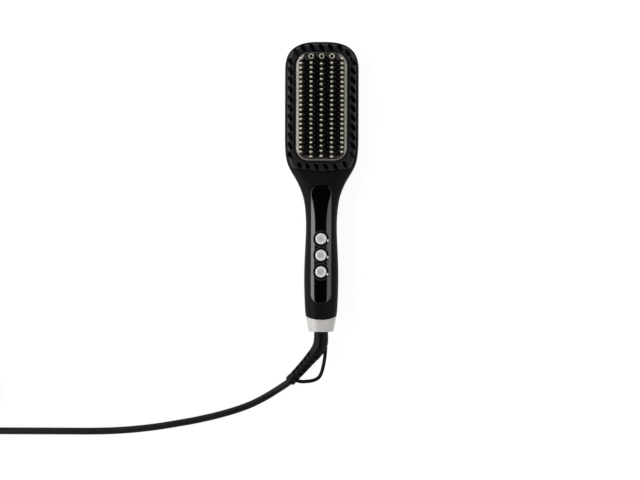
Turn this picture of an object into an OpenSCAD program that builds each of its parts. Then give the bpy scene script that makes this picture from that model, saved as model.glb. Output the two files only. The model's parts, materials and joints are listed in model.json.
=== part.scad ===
// Steam hair straightener brush, lying on its back.
// +Y points from the cord to the head's top, +Z is up, out of the heating plate.
// The origin is below the middle of the brush, on the surface that it lies on.

/* [Head] */
// Full width of the head
head_w = 73.6; // [73:0.1:74.4]
// Thickness of the two case shells
wall = 2.4; // [2:0.1:2.6]
// Width of the heating plate
plate_w = 50.6; // [50:0.1:50.8]
// Corner radius of the heating plate
plate_r = 12.8; // [11:0.2:14]
// Width of the gap round the heating plate, which the seal fills
seal_gap = 1; // [0.8:0.1:1.2]

/* [Teeth] */
// Height of the metal teeth above the tray's floor
tooth_h = 14.2; // [12:0.2:16]
// Width of a metal tooth, across the brush
tooth_w = 3.4; // [2.8:0.1:3.4]
// Thickness of a metal tooth, along the brush
tooth_t = 2.1; // [1.8:0.1:2.4]
// Spacing of the teeth in the outer four rows
side_pitch = 4.6; // [4.5:0.05:4.6]
// Spacing of the teeth in the middle row
mid_pitch = 5.03; // [4.9:0.01:5.03]
// Height of the black bristles above the tray's floor
bristle_h = 16.4; // [14:0.2:18]
// Diameter of a black bristle
bristle_d = 1.5; // [1.2:0.1:1.6]

/* [Buttons] */
// Diameter of a button
button_d = 11; // [10:0.1:11.2]
// Spacing of the three buttons
button_pitch = 16.3; // [16:0.1:17]

/* [Cord] */
// Diameter of the mains cord
cord_d = 7; // [6:0.1:7]
// Diameter of the strain relief where it leaves the cap
boot_d = 14; // [13:0.1:14]

/* [Hidden] */
$fn = 48;

BLACK = [0.13, 0.13, 0.14];
CHARCOAL = [0.22, 0.21, 0.24];
CHAMPAGNE = [0.74, 0.70, 0.64];
WHITE = [0.86, 0.86, 0.84];
COPPER = [0.72, 0.45, 0.25];
BOARD = [0.10, 0.30, 0.16];

HW = head_w / 2;
HEAD_END = 144.3;        // the head's top
DOME_Y = 114.3;          // where the head's end starts to round over
CAP_END = -144.3;
AXIS_Z = 15.8;           // the cord swivel's axis
BUTTON_Y = [-52.3, -52.3 - button_pitch, -52.3 - 2 * button_pitch];

// Stations along the case: y, half width, back, widest level, front, squareness of the back, of the front
CASE = [
    [-144.3, 12.75, 3.3, 15.8, 28.3, 2.3, 2.3],
    [-128, 15.6, 0.7, 15.8, 30.9, 2.3, 2.3],
    [-112, 16.65, 0.1, 15.8, 31.2, 2.3, 2.3],
    [-95, 17.1, 0, 15.8, 31.2, 2.3, 2.3],
    [-80, 16.95, 0.1, 15.8, 31.1, 2.3, 2.3],
    [-65, 16.35, 0.5, 15.8, 30.9, 2.3, 2.3],
    [-50, 15.65, 1.1, 15.7, 30.6, 2.3, 2.3],
    [-36, 15.45, 1.8, 15.5, 30, 2.3, 2.3],
    [-24, 16.15, 2.4, 15.2, 29.2, 2.3, 2.4],
    [-13, 17.7, 2.7, 14.7, 28.2, 2.5, 2.6],
    [-4, 20.4, 2.6, 14.1, 27.2, 2.7, 3],
    [5, 24.4, 2.2, 13.4, 26.2, 3, 3.5],
    [13, 29.2, 1.6, 12.8, 25.2, 3.3, 4.1],
    [20, 33.1, 1, 12.4, 24.5, 3.5, 4.7],
    [27, 35.3, 0.6, 12.1, 24, 3.6, 5],
    [36, 36.4, 0.5, 12, 23.6, 3.6, 5],
    [48, HW, 0.5, 12, 23.5, 3.6, 5],
    [DOME_Y, HW, 0.5, 12, 23.5, 3.6, 5]];

// Smooth reading of a station table at any y
function seg(T, y, i = 0) = (i >= len(T) - 2 || y < T[i + 1][0]) ? i : seg(T, y, i + 1);
function slope(T, i, c) = let (a = max(i - 1, 0), b = min(i + 1, len(T) - 1)) (T[b][c] - T[a][c]) / (T[b][0] - T[a][0]);
function at(T, y, c) = let (i = seg(T, y), h = T[i + 1][0] - T[i][0], t = (y - T[i][0]) / h,
    last = i >= len(T) - 2)
    last ? T[i][c] + (T[i + 1][c] - T[i][c]) * t :
    (2 * t * t * t - 3 * t * t + 1) * T[i][c] + (t * t * t - 2 * t * t + t) * h * slope(T, i, c)
    + (3 * t * t - 2 * t * t * t) * T[i + 1][c] + (t * t * t - t * t) * h * slope(T, i + 1, c);

// Front level of the case on its centre line
function top_z(y) = at(CASE, y, 4);

// Stations of a loft: rings up the straight part, then rings that close the head's rounded end
STRAIGHT = [for (r = [-144.3, -140, -136, -132, -128, -120, -112, -104, -95, -87, -80, -72, -65, -58, -50, -43, -36,
    -30, -24, -18, -13, -8, -4, 0, 5, 9, 13, 16, 20, 24, 27, 31, 36, 42, 48, 80, 114.3]) r];
END_ANGLES = [16, 26, 35, 44, 53, 62, 70, 77, 83, 87, 89.5];

// Half width, back drop and front rise of the case at y, all smaller by d
function half(y, d, side) = let (
    t = min(1, max(0, (y - DOME_Y) / (HEAD_END - d - DOME_Y))),
    yy = min(y, DOME_Y),
    w = (at(CASE, yy, 1) - d) * pow(1 - pow(t, 2.8), 1 / 2.8),
    zc = at(CASE, yy, 3),
    h = (side > 0 ? at(CASE, yy, 4) - zc : zc - at(CASE, yy, 2)) - d,
    g = pow(max(0, 1 - pow(t, 6)), 1 / 6))
    [max(w, 0.4), max(h * g, 0.4), zc, at(CASE, yy, side > 0 ? 6 : 5)];

function pw(v, e) = v <= 0 ? 0 : pow(v, e);
// One half ring: side 1 is the front half, -1 the back half; skirt carries it past the parting level
function ring(y, d, side, skirt, k = 18) = let (q = half(y, d, side))
    concat([[q[0], y, q[2] - side * skirt]],
        [for (j = [0:k]) let (a = 180 * j / k)
            [q[0] * sign(cos(a)) * pw(abs(cos(a)), 2 / q[3]), y, q[2] + side * q[1] * pw(sin(a), 2 / q[3])]],
        [[-q[0], y, q[2] - side * skirt]]);

function flip(v) = [for (i = [len(v) - 1:-1:0]) v[i]];

// A closed skin through rings of equal count
module skin(R, turn = false) {
    n = len(R[0]);
    m = len(R);
    sides = [for (i = [0:m - 2]) for (j = [0:n - 1]) let (a = i * n + j, b = i * n + (j + 1) % n,
        c = (i + 1) * n + (j + 1) % n, e = (i + 1) * n + j) each [[a, b, c], [a, c, e]]];
    caps = [[for (j = [n - 1:-1:0]) j], [for (j = [0:n - 1]) (m - 1) * n + j]];
    F = concat(sides, caps);
    polyhedron([for (r = R) for (p = r) p], turn ? [for (f = F) flip(f)] : F, convexity = 8);
}

// Solid half of the case, smaller by d all round
module half_case(d, side, skirt = 0, y0 = -144.3) {
    ye = HEAD_END - d;
    Y = concat([y0], [for (y = STRAIGHT) if (y > y0 + 0.5) y],
        [for (a = END_ANGLES) DOME_Y + (ye - DOME_Y) * pow(sin(a), 2 / 2.8)]);
    skin([for (y = Y) ring(y, d, side, skirt)], side < 0);
}

// Outline of the case seen from the front
function outline_right() = concat([for (y = STRAIGHT) [at(CASE, y, 1), y]],
    [for (a = END_ANGLES) [HW * pow(cos(a), 2 / 2.8), DOME_Y + 30 * pow(sin(a), 2 / 2.8)]]);
module case_outline() {
    R = outline_right();
    polygon(concat(R, [for (i = [len(R) - 1:-1:0]) [-R[i][0], R[i][1]]]));
}

// Everything above the curved seam between the case and the end cap
module above_seam(gap = 0) {
    polygon(concat([for (i = [-10:10]) let (x = 1.7 * i) [x, -128.2 - 3.8 * (1 - pow(x / 17, 2)) - gap]],
        [[60, -128.2 - gap], [60, 160], [-60, 160], [-60, -128.2 - gap]]));
}

module rounded(w, y0, y1, r, r_top = -1) {
    q = r_top < 0 ? r : r_top;
    translate([-w / 2, y0 + r]) square([w, y1 - y0 - r - q]);
    translate([-w / 2 + r, y0]) square([w - 2 * r, y1 - y0 - q]);
    translate([-w / 2 + q, y0 + r]) square([w - 2 * q, y1 - y0 - r]);
    for (s = [-1, 1]) {
        translate([s * (w / 2 - r), y0 + r]) circle(r);
        translate([s * (w / 2 - q), y1 - q]) circle(q);
    }
}

PLATE_Y0 = 25.5;
PLATE_Y1 = 132.4;
module plate_outline(grow = 0) {
    rounded(plate_w + 2 * grow, PLATE_Y0 - grow, PLATE_Y1 + grow, plate_r + grow);
}

// The guard frame's outer outline
module frame_outline(grow = 0) {
    intersection() {
        offset(delta = -2.8 + grow) case_outline();
        translate([0, 130.3]) circle(r = 116.4 + grow, $fn = 160);
        translate([-60, 10]) square([120, 140]);
    }
}

PANEL_Y0 = -115.8;
PANEL_Y1 = 2.3;
module panel_outline(grow = 0) {
    rounded(20.3 + 2 * grow, PANEL_Y0 - grow, PANEL_Y1 + grow, 9 + grow, 10 + grow);
}

// ---------------------------------------------------------------- case

SCREWS = [[-15, 9], [15, 9], [-10.6, -108], [10.6, -108]];

module front_shell() color(BLACK) difference() {
    resize([0, 0, 0]) difference() {
        intersection() {
            half_case(0, 1, y0 = -133);
            translate([0, 0, 5]) linear_extrude(40) above_seam();
        }
        difference() {
            half_case(wall, 1, skirt = 2, y0 = -140);
            // posts for the screws and the control board
            for (p = SCREWS) translate([p[0], p[1], 5.9]) cylinder(r = 2.3, h = 30, $fn = 24);
            for (y = [-96, -45, -6], s = [-1, 1]) translate([s * 9.4, y, 22.25]) cylinder(r = 1.2, h = 10, $fn = 16);
        }
        translate([0, 0, 17.9]) linear_extrude(30) frame_outline(0.15);
        difference() {
            translate([0, 0, 17]) linear_extrude(30) panel_outline(0.12);
            half_case(1.5, 1);
        }
        translate([0, 0, 17]) linear_extrude(30) panel_outline(-1.5);
    }
    for (p = SCREWS) translate([p[0], p[1], 5]) cylinder(r = 1.1, h = 9.4);
}

TANK_W = 47;
BAY_Z = 9.8;
module rear_shell() color(BLACK) difference() {
    resize([0, 0, 0]) difference() {
        union() {
            difference() {
                intersection() {
                    half_case(0, -1, skirt = 0, y0 = -133);
                    translate([0, 0, -5]) linear_extrude(40) above_seam();
                }
                half_case(wall, -1, skirt = 2, y0 = -140);
            }
            // walls and roof of the tank bay, screw posts, board ribs and pump cradle, all inside the case
            intersection() {
                half_case(0.4, -1, skirt = 0, y0 = -133);
                union() {
                    translate([-27.6, 26, -1]) cube([55.2, 130, 12.2]);
                    for (p = SCREWS) translate([p[0], p[1], -1]) cylinder(r = 3.4, h = 6.8, $fn = 24);
                    for (y = [-96, -50], s = [-1, 1]) translate([s * 7 - 1.2, y - 1.5, 0]) cube([2.4, 3, 7.95]);
                    for (y = [-33, -10]) difference() {
                        translate([-6, y - 1.2, 0]) cube([12, 2.4, 10]);
                        translate([0, y, 13]) rotate([90, 0, 0]) cylinder(r = 6.6, h = 5, center = true, $fn = 40);
                    }
                }
            }
        }
        translate([-TANK_W / 2 - 0.3, 27.7, -2]) cube([TANK_W + 0.6, 130, BAY_Z + 2]);
        translate([-TANK_W / 2 - 1.8, 27.7, 3.7]) cube([TANK_W + 3.6, 130, 2.6]);
    }
    for (p = SCREWS) {
        translate([p[0], p[1], -1]) cylinder(r = 1.35, h = 8);
        translate([p[0], p[1], -1]) cylinder(r = 2.5, h = 5);
    }
    translate([0, 25, 5.5]) rotate([-90, 0, 0]) cylinder(r = 2.02, h = 5);
}

module case_screws() color("dimgray") for (p = SCREWS) translate([p[0], p[1], 0]) {
    difference() {
        translate([0, 0, 2.4]) cylinder(r = 2.3, h = 1.58);
        translate([0, 0, 2.3]) cylinder(r = 1.15, h = 0.9, $fn = 6);
    }
    translate([0, 0, 3.9]) cylinder(r = 1.08, h = 10.2);
}

// ---------------------------------------------------------------- control panel and buttons

// Where the small indicator beside a button is: on the dish, low on its right
INDICATOR_A = [-15, -14, -20];
function indicator(i) = [6.95 * cos(INDICATOR_A[i]), BUTTON_Y[i] + 6.95 * sin(INDICATOR_A[i])];

module indicator_slot(i, grow) translate([indicator(i)[0], indicator(i)[1], 0]) rotate(INDICATOR_A[i])
    hull() for (s = [-1, 1]) translate([0, s * 0.65, 0]) circle(r = 0.65 + grow, $fn = 20);

module control_panel() color([0.05, 0.05, 0.055]) difference() {
    resize([0, 0, 0]) difference() {
        union() {
            intersection() {
                translate([0, 0, 17]) linear_extrude(30) panel_outline(0);
                difference() {
                    half_case(-0.12, 1);
                    half_case(1.45, 1);
                }
            }
            intersection() {
                for (y = BUTTON_Y) translate([0, y, top_z(y) - 3.4]) cylinder(r = 8.2, h = 6, $fn = 40);
                half_case(0.3, 1);
            }
        }
        // a shallow dish round each button
        for (y = BUTTON_Y) translate([0, y, top_z(y) - 2.1]) cylinder(r1 = 5.9, r2 = 7.9, h = 1.1, $fn = 40);
        for (y = BUTTON_Y) translate([0, y, top_z(y) - 1.01]) cylinder(r = 7.9, h = 5, $fn = 40);
        for (i = [0:2]) translate([0, 0, 20]) linear_extrude(20) indicator_slot(i, 0.03);
    }
    for (y = BUTTON_Y) translate([0, y, 20]) cylinder(r = button_d / 2 + 0.2, h = 20);
}

module led_windows() color("white") for (i = [0:2])
    translate([0, 0, top_z(BUTTON_Y[i]) - 3.3]) linear_extrude(2) indicator_slot(i, 0);

module button(y) {
    z = top_z(y);
    difference() {
        union() {
            translate([0, y, z - 5.4]) cylinder(r = button_d / 2, h = 5.95);
            translate([0, y, z - 4.6]) cylinder(r = button_d / 2 + 0.6, h = 1);
        }
        // the finger dish in its top
        translate([0, y, z + 0.55 + 17.6]) sphere(r = 18, $fn = 64);
    }
}
module button_plus() color(WHITE) button(BUTTON_Y[0]);
module button_steam() color(WHITE) button(BUTTON_Y[1]);
module button_power() color(WHITE) button(BUTTON_Y[2]);

BOARD_TOP = 22.2;
module dome(y) translate([0, y, BOARD_TOP]) difference() {
    cylinder(r1 = 4, r2 = 2.2, h = top_z(y) - 5.4 - BOARD_TOP);
    translate([0, 0, -0.01]) cylinder(r1 = 3.2, r2 = 1.4, h = top_z(y) - 5.4 - BOARD_TOP - 1);
}
module dome_plus() color("gray") dome(BUTTON_Y[0]);
module dome_steam() color("gray") dome(BUTTON_Y[1]);
module dome_power() color("gray") dome(BUTTON_Y[2]);

module control_board() color(BOARD) translate([-10.3, -100, BOARD_TOP - 1.2]) cube([20.6, 101, 1.2]);

module status_leds() color("white") for (i = [0:2])
    translate([indicator(i)[0] - 0.8, indicator(i)[1] - 0.4, BOARD_TOP]) cube([1.6, 0.8, 0.7]);

module temperature_display() color([0.1, 0.1, 0.1]) translate([-7, -38, BOARD_TOP]) cube([14, 26, 3.2]);

module power_board() color(BOARD) translate([-9, -103, 8]) cube([18, 58, 1.4]);

module board_parts() color("darkslategray") {
    translate([-7, -66, 9.4]) cube([9, 15, 8]);               // relay
    translate([4.5, -60, 9.4]) cylinder(r = 3, h = 9);        // smoothing capacitor
    translate([-7, -84, 9.4]) cube([13, 10, 7]);              // film capacitor
    translate([-6, -92, 9.4]) cube([4, 5, 9]);                // triac
    translate([1, -92, 9.4]) cube([6, 4, 4]);                 // fuse
}

// ---------------------------------------------------------------- head

// Slots of the guard: all lean the same way, whatever side they are on
LEAN = -58;
SIDE_SLOTS = [for (i = [0:10]) 123.6 - 9.29 * i];
SLOTS = concat([for (y = SIDE_SLOTS) each [[-31, y, 2.6, 6.4], [31, y, 2.6, 6.4]]],
    [for (x = [-18.4, -9.3, 0, 9, 18]) [x, 137.3, 3.2, 7.4]],
    [for (x = [-13.3, -4.6, 4.6, 14]) [x, 19, 2.9, 6.4]],
    [[-25.8, 133, 2.8, 7], [26, 132.4, 2.8, 6.4], [-21.5, 20.3, 2.8, 6.4], [23.4, 21.6, 2.8, 6]]);

module head_frame() color(CHARCOAL) translate([0, 0, 18.6]) linear_extrude(5.6) difference() {
    frame_outline();
    plate_outline(seal_gap);
    for (s = SLOTS) translate([s[0], s[1]]) rotate(LEAN) {
        square([s[3] - s[2], s[2]], center = true);
        for (e = [-1, 1]) translate([e * (s[3] - s[2]) / 2, 0]) circle(d = s[2], $fn = 16);
    }
}

module plate_seal() color([0.05, 0.05, 0.05]) translate([0, 0, 18.5]) linear_extrude(4.5) difference() {
    plate_outline(seal_gap - 0.04);
    plate_outline(0.04);
}

FLOOR_Z = 20.5;
STEAM_HOLES = [for (s = [-1, 1], i = [0:5]) [s * 5.1, 45.2 + 13.5 * i]];
module heating_plate() color(CHAMPAGNE) difference() {
    translate([0, 0, 18.5]) linear_extrude(6.5) plate_outline();
    // the sloping inner wall of the tray
    hull() {
        translate([0, 0, FLOOR_Z]) linear_extrude(0.01) plate_outline(-2.9);
        translate([0, 0, 25.1]) linear_extrude(0.01) plate_outline(-1.1);
    }
    for (h = STEAM_HOLES) translate([h[0], h[1], 18]) cylinder(d = 1.5, h = 3);
}

// One comb: a bar with upright teeth, cut from one strip; seen from its side, then given its width.
// The bar's foot ends a and b short of its outer teeth, and slopes up to them beside the tray's wall
module comb(x, y0, n, pitch, a, b) {
    y1 = y0 + (n - 1) * pitch;
    tip = tooth_t * 0.45;
    translate([x - tooth_w / 2, 0, FLOOR_Z]) rotate([90, 0, 90]) linear_extrude(tooth_w)
        polygon(concat([[y0 + a, 0.02], [y1 - b, 0.02]],
            [for (i = [n - 1:-1:0]) let (y = y0 + i * pitch) each
                [[y + tooth_t * 0.6, i == n - 1 ? 4.4 : 1.8], [y + tip, tooth_h - tip],
                    [y + tip * 0.7, tooth_h - tip * 0.3], [y, tooth_h], [y - tip * 0.7, tooth_h - tip * 0.3],
                    [y - tip, tooth_h - tip], [y - tooth_t * 0.6, i == 0 ? 4.4 : 1.8]]]));
}
module heated_combs() color(CHAMPAGNE) {
    comb(0, 29.1, 21, mid_pitch, -0.5, 0.5);
    for (s = [-1, 1]) comb(s * 10.15, 28.5, 23, side_pitch, 0.1, 0.5);
    for (s = [-1, 1]) comb(s * 20.2, 33.2, 21, side_pitch - 0.02, 2.5, 2.5);
}

STRIPS = [[-15.2, 31.8, 21], [-5.1, 30.4, 22], [5.1, 30.4, 22], [15.2, 31.8, 21]];
BRISTLE_PITCH = 4.66;
// Two staggered columns of bristles on each strip
module bristle_strips() color([0.07, 0.07, 0.07]) for (s = STRIPS) union() {
    translate([0, 0, FLOOR_Z + 0.02]) linear_extrude(1.6) difference() {
        translate([s[0] - 2.75, s[1] - 1.1]) square([5.5, (s[2] - 1) * BRISTLE_PITCH + 2.2]);
        for (h = STEAM_HOLES) if (abs(h[0] - s[0]) < 1) translate([h[0], h[1]]) circle(d = 1.1, $fn = 16);
    }
    translate([0, 0, FLOOR_Z + 1.5]) linear_extrude(bristle_h - 1.5) {
        for (i = [0:s[2] - 1]) translate([s[0] - 1.5, s[1] + BRISTLE_PITCH * i]) circle(d = bristle_d, $fn = 16);
        for (i = [0:s[2] - 2]) translate([s[0] + 1.5, s[1] + BRISTLE_PITCH * (i + 0.5)]) circle(d = bristle_d, $fn = 16);
    }
}

module plate_carrier() color([0.2, 0.2, 0.2]) translate([0, 0, 16.4]) linear_extrude(2) difference() {
    intersection() {
        offset(delta = -3.3) case_outline();
        translate([-40, 15.6]) square([80, 130]);
    }
    plate_outline(-1.6);
}

module ceramic_heaters() color("white") for (s = [-1, 1])
    translate([s * 16 - 5, 46, 17.1]) cube([10, 66, 1.38]);

module heater_clamps() color("silver") for (s = [-1, 1]) {
    translate([s * 16 - 4, 46, 16.5]) cube([8, 66, 0.55]);
    for (y = [48, 78, 108]) translate([s * 16 - 2, y - 2, 13.25]) cube([4, 4, 3.25]);
}

module steam_chamber() color("lightsteelblue") difference() {
    translate([-8.3, 40, 13.4]) cube([16.6, 78, 5.05]);
    translate([-7.1, 41.2, 14.6]) cube([14.2, 75.6, 2.8]);
    for (h = STEAM_HOLES) translate([h[0], h[1], 17]) cylinder(d = 1.5, h = 3);
    translate([3.5, 39, 14.9]) rotate([-90, 0, 0]) cylinder(d = 1.6, h = 3);
}

module insulation_pad() color("beige") translate([-23, 38.5, 11.3]) cube([46, 88, 1.9]);

module thermistor() color([0.25, 0.2, 0.15]) translate([-4.5, 35.5, 17.2]) rotate([0, 90, 0]) cylinder(r = 1.2, h = 6);

module thermal_fuse() color("silver") translate([-5.5, 122.5, 16.5]) rotate([0, 90, 0]) cylinder(r = 1.9, h = 11);

// ---------------------------------------------------------------- water side

module steam_pump() color([0.85, 0.85, 0.8]) {
    translate([0, -4, 13]) rotate([90, 0, 0]) cylinder(r = 6.4, h = 34);
    translate([-5, -16, 12]) cube([10, 9, 7.2]);
}

// A tube swept along points, elliptical if a and b differ
function unit(v) = v / norm(v);
function along(P, i) = unit(P[min(i + 1, len(P) - 1)] - P[max(i - 1, 0)]);
function hoop(c, t, a, b, k) = let (s = unit(cross(t, [0, 0, 1])), u = cross(s, t))
    [for (j = [0:k - 1]) let (q = 360 * (j + 0.5) / k) c + s * a * cos(q) + u * b * sin(q)];
module sweep(P, A, B, k) skin([for (i = [0:len(P) - 1]) hoop(P[i], along(P, i), A[i], B[i], k)]);
module tube(P, d, k) sweep(P, [for (p = P) d / 2], [for (p = P) d / 2], k);

module suction_tube() color("whitesmoke")
    tube([[-3, -3.9, 11.8], [-3, 0, 11.6], [-2.6, 4, 10.6], [-1.8, 8.5, 8.8], [-0.8, 13, 6.9], [-0.1, 17, 5.7], [0, 19.9, 5.5]], 3, 10);

module delivery_tube() color("whitesmoke")
    tube([[3.2, -3.9, 14.8], [3.2, 2, 14.8], [3.3, 12, 14.7], [3.4, 24, 14.7], [3.5, 34, 14.8], [3.5, 39.9, 14.9]], 3, 10);

module heater_leads() color("indianred") for (s = [-1, 1], e = [0, 1])
    tube([[s * (6.4 + 1.9 * e), -44.2, 8.9], [s * (7.6 + 1.9 * e), -43, 10], [s * (8.6 + 1.7 * e), -38, 12.4], [s * (9 + 1.7 * e), -28, 14],
        [s * (9 + 1.7 * e), -12, 14.6], [s * (9 + 1.7 * e), 4, 14.6], [s * (9.4 + 1.8 * e), 16, 14.6], [s * (11 + 2 * e), 30, 14.8],
        [s * (12.6 + 2.2 * e), 40, 15.6], [s * (14 + 2.4 * e), 45.6, 17.7]], 1.3, 8);

module tank_nipple() color("gainsboro") difference() {
    union() {
        translate([0, 20, 5.5]) rotate([-90, 0, 0]) cylinder(r = 2, h = 11);
        translate([0, 24.4, 5.5]) rotate([-90, 0, 0]) cylinder(r = 2.25, h = 1.5);
    }
    translate([0, 19, 5.5]) rotate([-90, 0, 0]) cylinder(r = 0.9, h = 13);
}

module nipple_o_ring() color("black") translate([0, 27.85, 5.5]) rotate([90, 0, 0])
    difference() {
        cylinder(r = 2.9, h = 0.3, center = true);
        cylinder(r = 2.01, h = 2, center = true);
    }

TANK_Y0 = 28.1;
TANK_Y1 = 141;
FILL_Z = 4.75;
module water_tank() color([0.25, 0.25, 0.28]) difference() {
    union() {
        linear_extrude(9.5) rounded(TANK_W, TANK_Y0, TANK_Y1, 2, 9);
        translate([-TANK_W / 2 - 1.5, 30, 4]) cube([TANK_W + 3, 96, 2]);
    }
    translate([0, 0, 1.4]) linear_extrude(6.7) rounded(TANK_W - 3.2, TANK_Y0 + 1.8, 136.5, 1, 7);
    translate([0, 27, 5.5]) rotate([-90, 0, 0]) cylinder(r = 2.1, h = 5);
    translate([0, 135, FILL_Z]) rotate([-90, 0, 0]) cylinder(r = 4, h = 8);
}

module tank_filler_plug() color([0.2, 0.2, 0.2]) {
    translate([0, 136.6, FILL_Z]) rotate([-90, 0, 0]) cylinder(r = 3.94, h = 4.5);
    translate([0, 141.02, FILL_Z]) rotate([-90, 0, 0]) cylinder(r = 4.6, h = 1.1);
    translate([-1, 142, FILL_Z - 3]) cube([2, 1.4, 6]);
}

// ---------------------------------------------------------------- end cap and swivel

module end_cap() color(CHAMPAGNE) difference() {
    resize([0, 0, 0]) union() {
        difference() {
            union() {
                half_cap(0.3, 1, -144.3);
                half_cap(0.3, -1, -144.3);
            }
            half_cap(2.1, 1, -142.3);
            half_cap(2.1, -1, -142.3);
            translate([0, 0, -5]) linear_extrude(50) above_seam(0.1);
        }
        // sleeve that plugs into the case
        difference() {
            union() {
                half_cap(wall + 0.15, 1, -134, -123);
                half_cap(wall + 0.15, -1, -134, -123);
            }
            half_cap(wall + 1.5, 1, -136, -120);
            half_cap(wall + 1.5, -1, -136, -120);
        }
        for (x = [-12.2, 11], z = [AXIS_Z - 3]) translate([x, -136, z]) cube([1.2, 6, 6]);
    }
    translate([0, -146, AXIS_Z]) rotate([-90, 0, 0]) cylinder(r = boot_d / 2 + 0.12, h = 8);
}
module half_cap(d, side, y0, y1 = -126) {
    Y = [for (y = [y0, -142, -140, -136, -132, -128, -124, y1]) if (y >= y0 && y <= y1) y];
    skin([for (i = [0:len(Y) - 1]) if (i == 0 || Y[i] > Y[i - 1]) ring(Y[i], d + (Y[i] < -144 ? 0.5 : 0), side, 0)], side < 0);
}

module swivel_socket() color("dimgray") difference() {
    union() {
        translate([0, -142.2, AXIS_Z]) rotate([-90, 0, 0]) cylinder(r = 10.2, h = 2);
        translate([0, -142.2, AXIS_Z]) rotate([-90, 0, 0]) cylinder(r = 8.8, h = 18);
    }
    translate([0, -143, AXIS_Z]) rotate([-90, 0, 0]) cylinder(r = 6.05, h = 20);
}

module swivel_spindle() color("silver") difference() {
    union() {
        translate([0, -142.25, AXIS_Z]) rotate([-90, 0, 0]) cylinder(r = 6, h = 18.2);
        translate([0, -124.1, AXIS_Z]) rotate([-90, 0, 0]) cylinder(r = 8, h = 2.4);
        translate([0, -122, AXIS_Z]) rotate([-90, 0, 0]) cylinder(r = 3.2, h = 12);
    }
    translate([0, -143, AXIS_Z]) rotate([-90, 0, 0]) cylinder(r = 4, h = 16);
}

module contact_rings() color(COPPER) {
    translate([0, -119.6, AXIS_Z]) rotate([-90, 0, 0]) difference() {
        cylinder(r = 4.8, h = 2.2);
        translate([0, 0, -1]) cylinder(r = 3.22, h = 5);
    }
    translate([0, -114.6, AXIS_Z]) rotate([-90, 0, 0]) difference() {
        cylinder(r = 4, h = 2.2);
        translate([0, 0, -1]) cylinder(r = 3.22, h = 5);
    }
}

module contact_springs() color(COPPER) {
    translate([-3.2, -119.6, 10.45]) cube([2, 20, 0.4]);
    translate([-3.2, -102, 9.42]) cube([2, 2.4, 1.2]);
    translate([1.2, -114.6, 11.25]) cube([2, 15, 0.4]);
    translate([1.2, -102, 9.42]) cube([2, 2.4, 2]);
}

// ---------------------------------------------------------------- cord

// Centre line of the strain relief, out of the cap and down towards the table
BOOT = [[0, -130.5, 15.8], [0, -142.38, 15.8], [0, -142.4, 15.8], [0, -148, 15.8], [0, -152, 15.8], [-0.3, -155.6, 15.7],
    [-1.4, -159.4, 15.3], [-3.8, -163.6, 14.7], [-7, -167.8, 13.9], [-10.6, -172, 13], [-14.3, -176.3, 12.1], [-18, -180.6, 11.2],
    [-21.7, -184.7, 10.4], [-25.3, -188.7, 9.6], [-29, -192.6, 8.7], [-31.6, -195.4, 8.1]];
BOOT_R = [3.96, 3.96, boot_d / 2, boot_d / 2, boot_d / 2, boot_d / 2 - 0.1, boot_d / 2 - 0.4, 6.2, 5.9, 5.75, 5.65, 5.55, 5.45, 5.3, 5.2, 5.1];
module cord_boot() color(BLACK) sweep(BOOT, BOOT_R, BOOT_R, 20);

LOOP = [[4.7, -153, 15.5], [4.6, -160, 15.2], [4.2, -166, 14.6], [3.3, -173.6, 13.5], [1.6, -182, 12.2], [0.2, -186.8, 11.4],
    [-1.9, -190.6, 10.8], [-4.7, -192.9, 10.5], [-8.8, -194.4, 10], [-14.6, -195.3, 9.5], [-20.6, -195.5, 9.1], [-27, -193.6, 8.9]];
module hang_loop() color(BLACK) difference() {
    sweep(LOOP, [for (p = LOOP) 1.85], [for (p = LOOP) 1.3], 12);
    sweep(BOOT, BOOT_R, BOOT_R, 20);
}

// The free stretch of cord, along the table to the coil
ROUTE = [[-31.62, -195.42, 8.1], [-34.6, -197.7, 7.2], [-39, -200.8, 5.9], [-45, -204.8, 4.8], [-52, -209.3, 4], [-60, -213.9, 3.6],
    [-70, -218.9, 3.5], [-82, -223.6, 3.5], [-96, -228, 3.5], [-112, -232.2, 3.5], [-130, -236.1, 3.5], [-148, -239.3, 3.5],
    [-166, -242.2, 3.5], [-186, -244.6, 3.5], [-208, -246.3, 3.5], [-232, -247, 3.5], [-258, -247, 3.5], [-285, -247, 3.5],
    [-310, -247, 3.5], [-335, -247, 3.5], [-350, -247, 3.5]];
module cord() color(BLACK) tube(ROUTE, cord_d, 10);

COIL_C = [-376, -204, 0];
module cord_coil() color(BLACK) translate(COIL_C) rotate_extrude()
    polygon([[25.6, 0], [46.6, 0], [46.6, 14], [43.1, 20.1], [36.1, 20.1], [25.6, 14]]);

TAIL = [[-415.8, -187.5, 17.6], [-415.8, -180, 16.8], [-415.8, -171, 13.8], [-415.8, -162, 10.4], [-415.8, -153, 8],
    [-415.8, -147, 7.3], [-415.8, -143.02, 7.2]];
module cord_tail() color(BLACK) tube(TAIL, cord_d, 10);

PLUG = [-415.8, -143, 7.2];
module plug_body() color(BLACK) translate(PLUG) {
    difference() {
        union() {
            rotate([-90, 0, 0]) cylinder(r1 = 4, r2 = 5, h = 14);
            hull() {
                translate([-8, 12, -5]) cube([16, 4, 10]);
                translate([-17, 30, -6.6]) cube([34, 8, 13.2]);
            }
        }
        for (s = [-1, 1]) translate([s * 9.5, 33, 0]) rotate([-90, 0, 0]) cylinder(r = 1.8, h = 6);
    }
}
module plug_pins() color("silver") translate(PLUG) for (s = [-1, 1]) translate([s * 9.5, 33, 0]) {
    rotate([-90, 0, 0]) cylinder(r = 1.8, h = 5.02);
    translate([0, 5, 0]) rotate([-90, 0, 0]) cylinder(r = 2, h = 17.6);
    translate([0, 22.6, 0]) rotate([-90, 0, 0]) cylinder(r1 = 2, r2 = 1.1, h = 1.4);
}

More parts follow.
